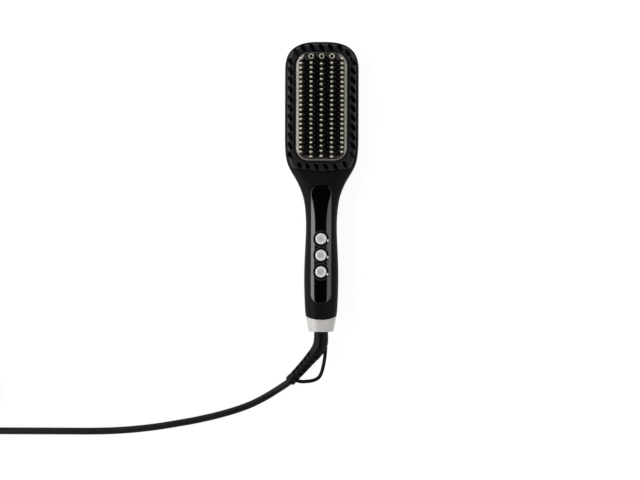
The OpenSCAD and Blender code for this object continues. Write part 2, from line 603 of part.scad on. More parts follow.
front_shell();
rear_shell();
control_panel();
led_windows();
button_plus();
button_steam();
button_power();
dome_plus();
dome_steam();
dome_power();
control_board();
status_leds();
temperature_display();
power_board();
board_parts();
head_frame();
plate_seal();
heating_plate();
heated_combs();
bristle_strips();
plate_carrier();
ceramic_heaters();
heater_clamps();
steam_chamber();
insulation_pad();
thermistor();
thermal_fuse();
steam_pump();
suction_tube();
delivery_tube();
heater_leads();
tank_nipple();
nipple_o_ring();
water_tank();
tank_filler_plug();
case_screws();
end_cap();
swivel_socket();
contact_springs();
swivel_spindle();
contact_rings();
cord_boot();
hang_loop();
cord();
cord_coil();
cord_tail();
plug_body();
plug_pins();
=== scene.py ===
# Looks of the steam hair straightener brush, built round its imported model.
# Lengths in the geometry code are millimetres; meshes are written in metres.
import json
import math
import bpy
import bmesh
import numpy as np
from mathutils import Matrix


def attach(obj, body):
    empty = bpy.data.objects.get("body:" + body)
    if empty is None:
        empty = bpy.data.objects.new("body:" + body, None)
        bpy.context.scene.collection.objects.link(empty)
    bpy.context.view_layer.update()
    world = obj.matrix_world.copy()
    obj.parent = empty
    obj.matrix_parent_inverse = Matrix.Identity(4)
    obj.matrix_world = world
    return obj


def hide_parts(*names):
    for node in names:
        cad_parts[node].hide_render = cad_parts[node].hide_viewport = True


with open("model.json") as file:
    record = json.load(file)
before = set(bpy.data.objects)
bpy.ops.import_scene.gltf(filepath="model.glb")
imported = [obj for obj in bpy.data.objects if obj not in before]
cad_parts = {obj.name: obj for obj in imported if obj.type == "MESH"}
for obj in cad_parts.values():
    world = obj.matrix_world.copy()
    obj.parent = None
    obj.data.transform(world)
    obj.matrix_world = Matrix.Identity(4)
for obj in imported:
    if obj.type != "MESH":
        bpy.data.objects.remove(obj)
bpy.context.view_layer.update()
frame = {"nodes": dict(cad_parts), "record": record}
scene = bpy.context.scene
NODES = frame["nodes"]
PI = math.pi

# ------------------------------------------------------------------ camera
cam = bpy.data.cameras.new("camera")
cam.lens = 56.25
cam.sensor_width = 36.0
cam.shift_x = -0.0438
cam.shift_y = 0.0344
cam.clip_start = 0.01
cam.clip_end = 30
cam_ob = bpy.data.objects.new("camera", cam)
scene.collection.objects.link(cam_ob)
cam_ob.location = (0.0267, -0.0751, 1.015)
cam_ob.rotation_euler = (0, 0, math.radians(0.19))
scene.camera = cam_ob
scene.view_settings.view_transform = "Standard"
scene.view_settings.look = "None"
scene.view_settings.exposure = 0
scene.view_settings.gamma = 1


# ------------------------------------------------------------------ materials
def shader(name):
    m = bpy.data.materials.new(name)
    m.use_nodes = True
    nt = m.node_tree
    b = nt.nodes["Principled BSDF"]
    return m, nt, b


def coords(nt, stretch=(1, 1, 1), uv=False):
    tc = nt.nodes.new("ShaderNodeTexCoord")
    mp = nt.nodes.new("ShaderNodeMapping")
    mp.inputs["Scale"].default_value = stretch
    nt.links.new(tc.outputs["UV" if uv else "Object"], mp.inputs["Vector"])
    return mp.outputs["Vector"]


def noise(nt, vec, scale, detail=3, rough=0.55):
    n = nt.nodes.new("ShaderNodeTexNoise")
    n.inputs["Scale"].default_value = scale
    n.inputs["Detail"].default_value = detail
    n.inputs["Roughness"].default_value = rough
    nt.links.new(vec, n.inputs["Vector"])
    return n.outputs["Fac"]


def ramp(nt, fac, stops):
    r = nt.nodes.new("ShaderNodeValToRGB")
    e = r.color_ramp.elements
    while len(e) < len(stops):
        e.new(0.5)
    for k, (p, c) in enumerate(stops):
        e[k].position = p
        e[k].color = (c[0], c[1], c[2], 1)
    nt.links.new(fac, r.inputs["Fac"])
    return r.outputs["Color"]


def remap(nt, fac, lo, hi, a=0.3, b=0.7):
    r = nt.nodes.new("ShaderNodeMapRange")
    r.inputs["From Min"].default_value = a
    r.inputs["From Max"].default_value = b
    r.inputs["To Min"].default_value = lo
    r.inputs["To Max"].default_value = hi
    nt.links.new(fac, r.inputs["Value"])
    return r.outputs["Result"]


def bump(nt, height, dist, strength=1.0, after=None):
    b = nt.nodes.new("ShaderNodeBump")
    b.inputs["Strength"].default_value = strength
    b.inputs["Distance"].default_value = dist
    nt.links.new(height, b.inputs["Height"])
    if after is not None:
        nt.links.new(after, b.inputs["Normal"])
    return b.outputs["Normal"]


def plain(name, color, rough, metal=0.0, spec=0.5, coat=0.0, coat_rough=0.05, var=0.12, var_scale=400,
          rvar=0.05, rscale=700, grain=None, stretch=(1, 1, 1), smudge=0.0, aniso=0.0, sheen=0.0,
          emit=None, trans=0.0, ior=1.5):
    """Principled finish with a slight variation of colour and roughness and a fine surface grain."""
    m, nt, b = shader(name)
    b.inputs["Metallic"].default_value = metal
    b.inputs["Specular IOR Level"].default_value = spec
    b.inputs["Coat Weight"].default_value = coat
    b.inputs["Coat Roughness"].default_value = coat_rough
    b.inputs["Anisotropic"].default_value = aniso
    b.inputs["Sheen Weight"].default_value = sheen
    b.inputs["Transmission Weight"].default_value = trans
    b.inputs["IOR"].default_value = ior
    vec = coords(nt, stretch)
    lo = [c * (1 - var) for c in color]
    hi = [min(1, c * (1 + var)) for c in color]
    nt.links.new(ramp(nt, noise(nt, vec, var_scale, 4), [(0.32, lo), (0.68, hi)]), b.inputs["Base Color"])
    r = noise(nt, vec, rscale, 3)
    r_out = remap(nt, r, max(0.02, rough - rvar), min(1, rough + rvar))
    if smudge:
        big = remap(nt, noise(nt, vec, 45, 3), 0, smudge, 0.45, 0.75)
        add = nt.nodes.new("ShaderNodeMath")
        add.operation = "ADD"
        nt.links.new(r_out, add.inputs[0])
        nt.links.new(big, add.inputs[1])
        r_out = add.outputs[0]
    nt.links.new(r_out, b.inputs["Roughness"])
    if grain:
        normal = None
        for scale, dist, strength in grain:
            normal = bump(nt, noise(nt, vec, scale, 2), dist, strength, normal)
        nt.links.new(normal, b.inputs["Normal"])
    if emit:
        b.inputs["Emission Color"].default_value = (*emit[0], 1)
        b.inputs["Emission Strength"].default_value = emit[1]
    return m


M = {}
M["case_black"] = plain("case_black", (0.0032, 0.0032, 0.0034), 0.50, spec=0.06, var=0.12, rvar=0.05, smudge=0.05,
                        grain=[(3800, 0.00003, 0.35), (900, 0.00003, 0.12)])
M["gloss_black"] = plain("gloss_black", (0.0007, 0.0007, 0.0008), 0.10, spec=0.72, var=0.2, rvar=0.012, rscale=60,
                         smudge=0.02, grain=[(110, 0.00002, 0.10)])
M["guard_charcoal"] = plain("guard_charcoal", (0.0086, 0.0080, 0.0104), 0.42, spec=0.26, var=0.14, rvar=0.05,
                            grain=[(4200, 0.00002, 0.30)])
M["comb_boss"] = plain("comb_boss", (0.45, 0.42, 0.36), 0.42, metal=0.25, var=0.06, rvar=0.04)
# painted shade: near-black, low-sheen finish laid on the guard's slots and the button dishes where they are in shade
M["slot_shade"] = plain("slot_shade", (0.0012, 0.0012, 0.0013), 0.6, spec=0.08, var=0.1, rvar=0.04)
M["champagne_metal"] = plain("champagne_metal", (0.255, 0.235, 0.212), 0.50, metal=0.5, spec=0.4, var=0.06, var_scale=250,
                             rvar=0.05, grain=[(5000, 0.00001, 0.3)], stretch=(1, 0.25, 1))
M["champagne_satin"] = plain("champagne_satin", (0.44, 0.425, 0.41), 0.40, metal=0.10, spec=0.3, var=0.03, var_scale=1800,
                             rvar=0.03, grain=[(6000, 0.00001, 0.4)])
M["button_white"] = plain("button_white", (0.42, 0.425, 0.415), 0.34, metal=0.0, var=0.03, rvar=0.03, spec=0.4,
                          grain=[(3000, 0.00001, 0.25)])
M["button_rim"] = plain("button_rim", (0.62, 0.625, 0.615), 0.26, metal=0.0, var=0.02, rvar=0.03, coat=0.2, coat_rough=0.1)
M["icon_grey"] = plain("icon_grey", (0.10, 0.10, 0.105), 0.45, var=0.05, rvar=0.03)
# painted highlight: white finish that glows faintly, for the small windows that stand in for each button dish's rim
# highlight
M["window_white"] = plain("window_white", (0.70, 0.71, 0.73), 0.2, var=0.02, rvar=0.02, emit=((1, 1, 1), 0.12))
M["bristle_black"] = plain("bristle_black", (0.0035, 0.0033, 0.003), 0.42, spec=0.25, var=0.2, rvar=0.06)
M["seal_rubber"] = plain("seal_rubber", (0.004, 0.004, 0.004), 0.6, spec=0.3, var=0.2, grain=[(3000, 0.00002, 0.4)])
M["boot_rubber"] = plain("boot_rubber", (0.0022, 0.0022, 0.0024), 0.38, spec=0.09, var=0.15, rvar=0.06, smudge=0.05,
                         grain=[(3200, 0.00002, 0.30)])
M["silicone"] = plain("silicone", (0.6, 0.6, 0.58), 0.35, var=0.05, trans=0.3)
M["circuit_board"] = plain("circuit_board", (0.02, 0.10, 0.04), 0.35, var=0.25, var_scale=300)
M["component_black"] = plain("component_black", (0.012, 0.012, 0.012), 0.55, spec=0.35, var=0.2, grain=[(2500, 0.00003, 0.4)])
M["ceramic"] = plain("ceramic", (0.75, 0.74, 0.70), 0.5, var=0.06)
M["steel"] = plain("steel", (0.45, 0.45, 0.46), 0.32, metal=1.0, var=0.08, rvar=0.08)
M["chamber_metal"] = plain("chamber_metal", (0.55, 0.56, 0.58), 0.45, metal=1.0, var=0.1)
M["insulation"] = plain("insulation", (0.62, 0.57, 0.45), 0.95, var=0.15, var_scale=1500, grain=[(2500, 0.0001, 0.8)])
M["pump_plastic"] = plain("pump_plastic", (0.6, 0.6, 0.56), 0.45, var=0.05)
M["lead_sleeve"] = plain("lead_sleeve", (0.35, 0.06, 0.04), 0.7, var=0.2, var_scale=2500)
M["contact_brass"] = plain("contact_brass", (0.60, 0.42, 0.20), 0.3, metal=1.0, var=0.1)
M["pin_nickel"] = plain("pin_nickel", (0.70, 0.68, 0.64), 0.16, metal=1.0, var=0.05, rvar=0.05, grain=[(900, 0.00002, 0.1)])
M["tank_smoke"] = plain("tank_smoke", (0.012, 0.012, 0.0145), 0.22, spec=0.5, var=0.12, rvar=0.04, smudge=0.06,
                        grain=[(2600, 0.000015, 0.2)])


def cord_finish():
    """Satin sheath with a faint laid texture that turns round it."""
    m, nt, b = shader("cord_black")
    b.inputs["Specular IOR Level"].default_value = 0.14
    vec = coords(nt)
    nt.links.new(ramp(nt, noise(nt, vec, 500, 4), [(0.3, (0.0022, 0.0022, 0.0024)), (0.7, (0.0036, 0.0036, 0.0039))]),
                 b.inputs["Base Color"])
    nt.links.new(remap(nt, noise(nt, vec, 900, 3), 0.34, 0.46), b.inputs["Roughness"])
    uv = coords(nt, (1, 1, 1), uv=True)
    w = nt.nodes.new("ShaderNodeTexWave")
    w.wave_type = "BANDS"
    w.bands_direction = "DIAGONAL"
    w.inputs["Scale"].default_value = 1.0
    w.inputs["Distortion"].default_value = 0.6
    w.inputs["Detail"].default_value = 1.0
    nt.links.new(uv, w.inputs["Vector"])
    n1 = bump(nt, w.outputs["Fac"], 0.00006, 0.35)
    nt.links.new(bump(nt, noise(nt, vec, 3500, 2), 0.00002, 0.3, n1), b.inputs["Normal"])
    return m


M["cord_black"] = cord_finish()


def tooth_finish():
    """Champagne tips on shafts painted bronze-brown towards the plate: a painted shade of the deep rows between the
    teeth.
    """
    m, nt, b = shader("champagne_teeth")
    b.inputs["Metallic"].default_value = 0.25
    b.inputs["Specular IOR Level"].default_value = 0.4
    tc = nt.nodes.new("ShaderNodeTexCoord")
    sp = nt.nodes.new("ShaderNodeSeparateXYZ")
    nt.links.new(tc.outputs["Object"], sp.inputs[0])
    vec = coords(nt)
    h = remap(nt, sp.outputs["Z"], 0, 1, 0.0205, 0.0355)
    add = nt.nodes.new("ShaderNodeMath")
    add.operation = "ADD"
    nt.links.new(h, add.inputs[0])
    nt.links.new(remap(nt, noise(nt, vec, 350, 2), -0.015, 0.015), add.inputs[1])
    # painted shade: the colour ramp runs from dark bronze-brown at the plate up to champagne at the tips
    nt.links.new(ramp(nt, add.outputs[0], [(0.0, (0.04, 0.034, 0.024)), (0.5, (0.12, 0.104, 0.07)), (0.80, (0.21, 0.185, 0.135)),
                                           (0.865, (0.50, 0.47, 0.40)), (1.0, (0.56, 0.53, 0.45))]), b.inputs["Base Color"])
    nt.links.new(remap(nt, noise(nt, vec, 900, 3), 0.36, 0.46), b.inputs["Roughness"])
    nt.links.new(bump(nt, noise(nt, vec, 5000, 2), 0.00001, 0.3), b.inputs["Normal"])
    return m


M["champagne_teeth"] = tooth_finish()


# ------------------------------------------------------------------ mesh helpers
def make(name, V, F):
    me = bpy.data.meshes.new(name)
    me.from_pydata((np.asarray(V, float) * 0.001).tolist(), [], [tuple(int(i) for i in f) for f in F])
    me.update()
    ob = bpy.data.objects.new(name, me)
    scene.collection.objects.link(ob)
    tidy(ob)
    return ob


def tidy(ob, dist=1e-6):
    bm = bmesh.new()
    bm.from_mesh(ob.data)
    bmesh.ops.remove_doubles(bm, verts=bm.verts, dist=dist)
    bmesh.ops.dissolve_degenerate(bm, edges=bm.edges, dist=dist * 0.5)
    loose = [v for v in bm.verts if not v.link_faces]
    bmesh.ops.delete(bm, geom=loose, context="VERTS")
    bmesh.ops.recalc_face_normals(bm, faces=bm.faces)
    bm.to_mesh(ob.data)
    bm.free()
    ob.data.update()


def join(parts):
    V, F, n = [], [], 0
    for v, f in parts:
        V.append(np.asarray(v, float))
        F.extend([tuple(i + n for i in q) for q in f])
        n += len(v)
    return np.vstack(V), F


def loft(R, cap=True, around=False):
    """Skin through rings of equal count. around closes the last ring onto the first."""
    R = np.asarray(R, float)
    m, n = R.shape[:2]
    F = []
    for i in range(m if around else m - 1):
        a, b = i * n, ((i + 1) % m) * n
        for j in range(n):
            k = (j + 1) % n
            F.append((a + j, a + k, b + k, b + j))
    if cap and not around:
        F.append(tuple(range(n - 1, -1, -1)))
        F.append(tuple((m - 1) * n + j for j in range(n)))
    return R.reshape(-1, 3), F


def cut(ob, tool, op="DIFFERENCE", keep=False):
    """Boolean, applied to the mesh."""
    for solver in ("MANIFOLD", "EXACT"):
        md = ob.modifiers.new("cut", "BOOLEAN")
        md.operation = op
        md.object = tool
        try:
            md.solver = solver
        except TypeError:
            ob.modifiers.clear()
            continue
        bpy.context.view_layer.update()
        dg = bpy.context.evaluated_depsgraph_get()
        me = bpy.data.meshes.new_from_object(ob.evaluated_get(dg))
        same = len(me.vertices) == len(ob.data.vertices) and len(me.polygons) == len(ob.data.polygons)
        ob.modifiers.clear()
        if len(me.polygons) > 3 and not same:
            name = ob.data.name
            ob.data = me
            me.name = name
            break
        bpy.data.meshes.remove(me)
        print("boolean", solver, "did nothing on", ob.name, tool.name)
    if not keep:
        bpy.data.objects.remove(tool)
    return ob


def prism(name, P, z0, z1):
    P = np.asarray(P, float)
    n = len(P)
    V = np.vstack([np.column_stack([P, np.full(n, z0)]), np.column_stack([P, np.full(n, z1)])])
    F = [tuple(range(n - 1, -1, -1)), tuple(range(n, 2 * n))]
    F += [(j, (j + 1) % n, n + (j + 1) % n, n + j) for j in range(n)]
    return make(name, V, F)


def block(name, x0, x1, y0, y1, z0, z1):
    return prism(name, [(x0, y0), (x1, y0), (x1, y1), (x0, y1)], z0, z1)


def lathe(profile, segs=96, c=(0, 0, 0), axis="z"):
    """Profile points (r, h) turned about an axis through c."""
    a = np.arange(segs) * 2 * PI / segs
    R = []
    for r, h in profile:
        r = max(r, 0)
        x, y = r * np.cos(a), r * np.sin(a)
        if axis == "z":
            R.append(np.column_stack([c[0] + x, c[1] + y, np.full(segs, c[2] + h)]))
        else:
            R.append(np.column_stack([c[0] + x, np.full(segs, c[1] + h), c[2] + y]))
    return loft(R, cap=True)


def piece(ob, body, material, nodes=(), angle=32):
    """Gives a finished mesh its material, its soft edges and its body."""
    me = ob.data
    me.materials.clear()
    me.materials.append(M[material])
    me.shade_smooth()
    me.set_sharp_from_angle(angle=math.radians(angle))
    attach(ob, body)
    if nodes:
        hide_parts(*nodes)
    return ob


def sstep(a, b, t):
    u = np.clip((np.asarray(t, float) - a) / (b - a), 0, 1)
    return u * u * (3 - 2 * u)


def spline(P, step):
    """Dense points on a smooth curve through P, with their distance along it."""
    P = np.asarray(P, float)
    d = np.r_[0, np.cumsum(np.linalg.norm(np.diff(P, axis=0), axis=1))]
    T = np.gradient(P, d, axis=0)
    out = []
    for i in range(len(P) - 1):
        h = d[i + 1] - d[i]
        n = max(1, int(round(h / step)))
        t = (np.arange(n) / n)[:, None]
        out.append((2 * t**3 - 3 * t**2 + 1) * P[i] + (t**3 - 2 * t**2 + t) * h * T[i]
                   + (3 * t**2 - 2 * t**3) * P[i + 1] + (t**3 - t**2) * h * T[i + 1])
    out.append(P[-1:])
    Q = np.vstack(out)
    s = np.r_[0, np.cumsum(np.linalg.norm(np.diff(Q, axis=0), axis=1))]
    return Q, s


def frames(Q):
    """Tangent, side and up vectors along a path that is never vertical."""
    T = np.gradient(Q, axis=0)
    T /= np.linalg.norm(T, axis=1)[:, None]
    S = np.cross(T, [0, 0, 1.0])
    S /= np.linalg.norm(S, axis=1)[:, None]
    U = np.cross(S, T)
    return T, S, U


# ------------------------------------------------------------------ shape of the case
CASE = np.array([
    [-144.3, 12.75, 3.3, 15.8, 28.3, 2.3, 2.3], [-128, 15.6, 0.7, 15.8, 30.9, 2.3, 2.3],
    [-112, 16.65, 0.1, 15.8, 31.2, 2.3, 2.3], [-95, 17.1, 0, 15.8, 31.2, 2.3, 2.3],
    [-80, 16.95, 0.1, 15.8, 31.1, 2.3, 2.3], [-65, 16.35, 0.5, 15.8, 30.9, 2.3, 2.3],
    [-50, 15.65, 1.1, 15.7, 30.6, 2.3, 2.3], [-36, 15.45, 1.8, 15.5, 30, 2.3, 2.3],
    [-24, 16.15, 2.4, 15.2, 29.2, 2.3, 2.4], [-13, 17.7, 2.7, 14.7, 28.2, 2.5, 2.6],
    [-4, 20.4, 2.6, 14.1, 27.2, 2.7, 3], [5, 24.4, 2.2, 13.4, 26.2, 3, 3.5],
    [13, 29.2, 1.6, 12.8, 25.2, 3.3, 4.1], [20, 33.1, 1, 12.4, 24.5, 3.5, 4.7],
    [27, 35.3, 0.6, 12.1, 24, 3.6, 5], [36, 36.4, 0.5, 12, 23.6, 3.6, 5],
    [48, 36.8, 0.5, 12, 23.5, 3.6, 5], [114.3, 36.8, 0.5, 12, 23.5, 3.6, 5]])
DOME_Y, HEAD_END, HW, WALL, AXIS_Z = 114.3, 144.3, 36.8, 2.4, 15.8


def table():
    T = CASE
    ys = np.arange(-165, 131.01, 0.25)
    out = {}
    for c in range(1, 7):
        v = np.empty(len(ys))
        sl = np.array([(T[min(i + 1, len(T) - 1), c] - T[max(i - 1, 0), c])
                       / (T[min(i + 1, len(T) - 1), 0] - T[max(i - 1, 0), 0]) for i in range(len(T))])
        for k, y in enumerate(ys):
            if y <= T[0, 0]:
                v[k] = T[0, c] + sl[0] * (y - T[0, 0])
                continue
            if y >= T[-1, 0]:
                v[k] = T[-1, c]
                continue
            i = int(np.searchsorted(T[:, 0], y, side="right") - 1)
            h = T[i + 1, 0] - T[i, 0]
            t = (y - T[i, 0]) / h
            if i >= len(T) - 2:
                v[k] = T[i, c] + (T[i + 1, c] - T[i, c]) * t
            else:
                v[k] = ((2 * t**3 - 3 * t**2 + 1) * T[i, c] + (t**3 - 2 * t**2 + t) * h * sl[i]
                        + (3 * t**2 - 2 * t**3) * T[i + 1, c] + (t**3 - t**2) * h * sl[i + 1])
        g = np.exp(-0.5 * (np.arange(-48, 49) * 0.25 / 2.6) ** 2)
        pad = np.r_[v[0] - (v[1] - v[0]) * np.arange(48, 0, -1), v, np.full(48, v[-1])]
        v2 = np.convolve(pad, g / g.sum(), "valid")
        # the back is never lower than the ground, on which it rests
        out[c] = v2 if c not in (2,) else np.maximum(v2, 0.0)
    return ys, out


YS, TAB = table()


def at(y, c):
    return np.interp(np.minimum(y, DOME_Y), YS, TAB[c])


def top_z(y):
    return float(at(y, 4))


def half(y, d, side):
    y = np.asarray(y, float)
    t = np.clip((y - DOME_Y) / (HEAD_END - d - DOME_Y), 0, 1)
    w = (at(y, 1) - d) * np.clip(1 - t**2.8, 0, 1) ** (1 / 2.8)
    zc = at(y, 3)
    h = (at(y, 4) - zc if side > 0 else zc - at(y, 2)) - d
    g = np.clip(1 - t**6, 0, 1) ** (1 / 6)
    return np.maximum(w, 0.4), np.maximum(h * g, 0.4), zc, at(y, 6 if side > 0 else 5)


def surface_z(x, y, d=0.0):
    """Front level of the case at x, y."""
    w, h, zc, n = half(y, d, 1)
    return zc + h * np.clip(1 - (np.abs(x) / w) ** n, 0, 1) ** (1 / n)


def arc(y, d, side, k, lip=0.0):
    """Points of one half section, from +x over the middle to -x, evenly shared by length and by turning."""
    w, h, zc, n = [float(v) for v in half(y, d, side)]
    a0 = lip / w if lip else 0.0
    th = np.linspace(a0, PI - a0, 961)
    c, s = np.abs(np.cos(th)), np.abs(np.sin(th))
    r = ((c / w) ** n + (s / h) ** n) ** (-1 / n)
    x, z = r * np.cos(th), r * np.sin(th)
    dx, dz = np.diff(x), np.diff(z)
    ds = np.hypot(dx, dz)
    ang = np.unwrap(np.arctan2(dz, dx))
    turn = np.r_[0, np.abs(np.diff(ang))]
    m = np.r_[0, np.cumsum(0.5 * ds / ds.sum() + 0.5 * turn / max(turn.sum(), 1e-9))]
    q = np.interp(np.linspace(0, m[-1], k + 1), m, th)
    q[0], q[-1] = a0, PI - a0
    c, s = np.abs(np.cos(q)), np.abs(np.sin(q))
    r = ((c / w) ** n + (s / h) ** n) ** (-1 / n)
    return np.column_stack([r * np.cos(q), np.full(k + 1, y), zc + side * r * np.sin(q)]), w, zc


DOME_ANGLES = [3, 7, 11, 15, 19, 23, 27, 31, 35, 39, 43, 47, 51, 55, 59, 63, 67, 70, 73, 76, 79, 81.5, 84, 86, 87.5, 88.6, 89.5]


def half_loft(d, side, y0, k=56, skirt=0.0, lip=0.0, step=1.6):
    ye = HEAD_END - d
    Y = list(np.arange(y0, 50, step)) + [50, 58, 66, 74, 82, 90, 98, 104, 108, 111, 113, DOME_Y]
    Y += [DOME_Y + (ye - DOME_Y) * math.sin(math.radians(a)) ** (2 / 2.8) for a in DOME_ANGLES]
    Y = sorted(set(round(v, 5) for v in Y))
    Y = [v for i, v in enumerate(Y) if i == 0 or v - Y[i - 1] > 0.004]
    R = []
    for y in Y:
        P, w, zc = arc(y, d, side, k, lip)
        if lip:
            e = min(lip, w * 0.3)
            P = np.vstack([[w - e, y, zc], P, [-w + e, y, zc]])
        if skirt:
            P = np.vstack([[w, y, zc - side * skirt], P, [-w, y, zc - side * skirt]])
        R.append(P)
    return loft(R)


def outline_right(d, n_dome=60):
    y = np.r_[np.arange(-146, DOME_Y, 0.6), DOME_Y]
    a = np.radians(np.linspace(2, 89.9, n_dome))
    x = np.r_[at(y, 1), HW * np.cos(a) ** (2 / 2.8)]
    y = np.r_[y, DOME_Y + 30 * np.sin(a) ** (2 / 2.8)]
    P = np.column_stack([x, y])
    P = np.vstack([P, [[0, HEAD_END]]])
    T = np.gradient(P, axis=0)
    T /= np.linalg.norm(T, axis=1)[:, None]
    N = np.column_stack([T[:, 1], -T[:, 0]])
    N[-1] = (0, 1)
    return P - d * N


def frame_line(grow=0.0, r_corner=2.6):
    """Outer outline of the guard: along the case's outline, closed below by an arc, corners rounded."""
    P = outline_right(2.8 - grow)
    R = 116.4 + grow
    inside = np.hypot(P[:, 0], P[:, 1] - 130.3) < R
    i = int(np.argmax(inside & (P[:, 1] > 10)))
    a, b = P[i - 1], P[i]
    fa = np.hypot(a[0], a[1] - 130.3) - R
    fb = np.hypot(b[0], b[1] - 130.3) - R
    c = a + (b - a) * fa / (fa - fb)
    right = np.vstack([c, P[i:]])
    right = right[right[:, 0] > 1e-6]
    ang = math.asin(c[0] / R)
    t = np.linspace(0, ang, 60)[:-1]
    low = np.column_stack([R * np.sin(t), 130.3 - R * np.cos(t)])
    half_r = np.vstack([low, right])
    left = half_r[::-1].copy()
    left[:, 0] *= -1
    loop = np.vstack([half_r, [[0, HEAD_END - 2.8 + grow]], left[:-1]])
    # even spacing, then soft corners
    Q = np.vstack([loop, loop[:1]])
    s = np.r_[0, np.cumsum(np.linalg.norm(np.diff(Q, axis=0), axis=1))]
    n = int(s[-1] / 0.4)
    u = np.arange(n) * s[-1] / n
    D = np.column_stack([np.interp(u, s, Q[:, 0]), np.interp(u, s, Q[:, 1])])
    k = np.arange(-20, 21)
    g = np.exp(-0.5 * (k * 0.4 / (r_corner * 0.62)) ** 2)
    g /= g.sum()
    G = sum(np.roll(D, -j, axis=0) * w for j, w in zip(k, g))
    near = np.zeros(n)
    for sx in (1, -1):
        dist = np.hypot(D[:, 0] - sx * c[0], D[:, 1] - c[1])
        near = np.maximum(near, 1 - sstep(r_corner * 1.4, r_corner * 2.6, dist))
    return D * (1 - near[:, None]) + G * near[:, None]


def rrect(w, y0, y1, r, q, nc=20, ny=40, nx=12):
    """Rounded rectangle, same point count whatever its size; anticlockwise from the lower right corner."""
    r, q = max(r, 0.001), max(q, 0.001)
    P = []

    def corner(cx, cy, rad, a0):
        for t in np.linspace(a0, a0 + PI / 2, nc + 1):
            P.append((cx + rad * math.cos(t), cy + rad * math.sin(t)))

    def line(a, b, n):
        for t in np.arange(1, n) / n:
            P.append((a[0] + (b[0] - a[0]) * t, a[1] + (b[1] - a[1]) * t))

    h = w / 2
    corner(h - r, y0 + r, r, -PI / 2)
    line((h, y0 + r), (h, y1 - q), ny)
    corner(h - q, y1 - q, q, 0)
    line((h - q, y1), (-h + q, y1), nx)
    corner(-h + q, y1 - q, q, PI / 2)
    line((-h, y1 - q), (-h, y0 + r), ny)
    corner(-h + r, y0 + r, r, PI)
    line((-h + r, y0), (h - r, y0), nx)
    return np.array(P)


def seam_y(x):
    return -128.2 - 3.8 * (1 - (np.asarray(x, float) / 17) ** 2)


def below_seam(name, gap=0.0):
    x = np.linspace(-19, 19, 77)
    P = [(v, float(seam_y(v)) - gap) for v in x]
    P += [(60, P[-1][1]), (60, -160), (-60, -160), (-60, P[0][1])]
    return prism(name, P, -10, 50)


SCREWS = [(-15, 9), (15, 9), (-10.6, -108), (10.6, -108)]
BUTTON_Y = [-52.3, -68.6, -84.9]

# ------------------------------------------------------------------ the mains cord
ROUTE = [[-31.62, -195.42, 8.1], [-34.6, -197.7, 7.2], [-39, -200.8, 5.9], [-45, -204.8, 4.8], [-52, -209.3, 4],
         [-60, -213.9, 3.6], [-70, -218.9, 3.5], [-82, -223.6, 3.5], [-96, -228, 3.5], [-112, -232.2, 3.5],
         [-130, -236.1, 3.5], [-148, -239.3, 3.5], [-166, -242.2, 3.5], [-186, -244.6, 3.5], [-208, -246.3, 3.5],
         [-232, -247, 3.5], [-258, -247, 3.5], [-285, -247, 3.5], [-310, -247, 3.5], [-335, -247, 3.5], [-350, -247, 3.5]]
TAIL = [[-415.8, -196, 17.2], [-415.8, -187.5, 17.6], [-415.8, -180, 16.8], [-415.8, -171, 13.8], [-415.8, -162, 10.4],
        [-415.8, -153, 8], [-415.8, -147, 7.3], [-415.8, -143.02, 7.2]]
COIL_C = (-376, -204)
CORD_R = 3.5


def steps(phi, table):
    v = table[0][1]
    for (a, b, to) in table[1:]:
        v = v + (to - v) * float(sstep(a, b, phi))
    return v


def coil_points():
    """Turns laid beside each other, then a second layer, then half a turn in the groove on top."""
    P = []
    for phi in np.arange(0, 2250.1, 6):
        r = steps(phi, [(0, 43.1), (270, 360, 36.1), (630, 720, 29.1), (1260, 1350, 36.1), (1620, 1710, 43.1), (1980, 2070, 39.8)])
        z = steps(phi, [(0, 3.5), (980, 1080, 10.5), (1945, 2020, 17.2), (2040, 2090, 16.7)])
        t = math.radians(270 - phi)
        P.append((COIL_C[0] + r * math.cos(t), COIL_C[1] + r * math.sin(t), z))
    return P


def cord_path():
    a, _ = spline(ROUTE, 4.0)
    b = np.array(coil_points())
    c, _ = spline([list(b[-1])] + TAIL, 3.0)
    return np.vstack([a, [[-363, -247, 3.5]], b, c[1:]])


path = cord_path()
T, S, U = frames(path)
SEG = 28
ang = np.arange(SEG) * 2 * PI / SEG
rings = np.array([path[i] + CORD_R * (np.outer(np.cos(ang), S[i]) + np.outer(np.sin(ang), U[i])) for i in range(len(path))])
cord_ob = make("mains_cord", *loft(rings))
run = np.r_[0, np.cumsum(np.linalg.norm(np.diff(path, axis=0), axis=1))]
uvl = cord_ob.data.uv_layers.new(name="along")
# place along the cord and angle round it, for the sheath's laid texture
pts = np.array([v.co for v in cord_ob.data.vertices]) * 1000
near = np.array([int(np.argmin(((path - p) ** 2).sum(1))) for p in pts])
rel = pts - path[near]
v_ang = np.arctan2((rel * U[near]).sum(1), (rel * S[near]).sum(1)) / (2 * PI)
for poly in cord_ob.data.polygons:
    vs = [v_ang[cord_ob.data.loops[li].vertex_index] for li in poly.loop_indices]
    wrap = max(vs) - min(vs) > 0.5
    for li in poly.loop_indices:
        i = cord_ob.data.loops[li].vertex_index
        a = v_ang[i] + (1 if wrap and v_ang[i] < 0 else 0)
        uvl.data[li].uv = (run[near[i]] / 1.1, a * 3.0)
piece(cord_ob, "cord_swivel", "cord_black", ("cord", "cord_coil", "cord_tail"), 60)
print("cord length", run[-1])

# the plug: flat two-pin body with a ribbed neck
PX, PY, PZ = -415.8, -143.0, 7.2


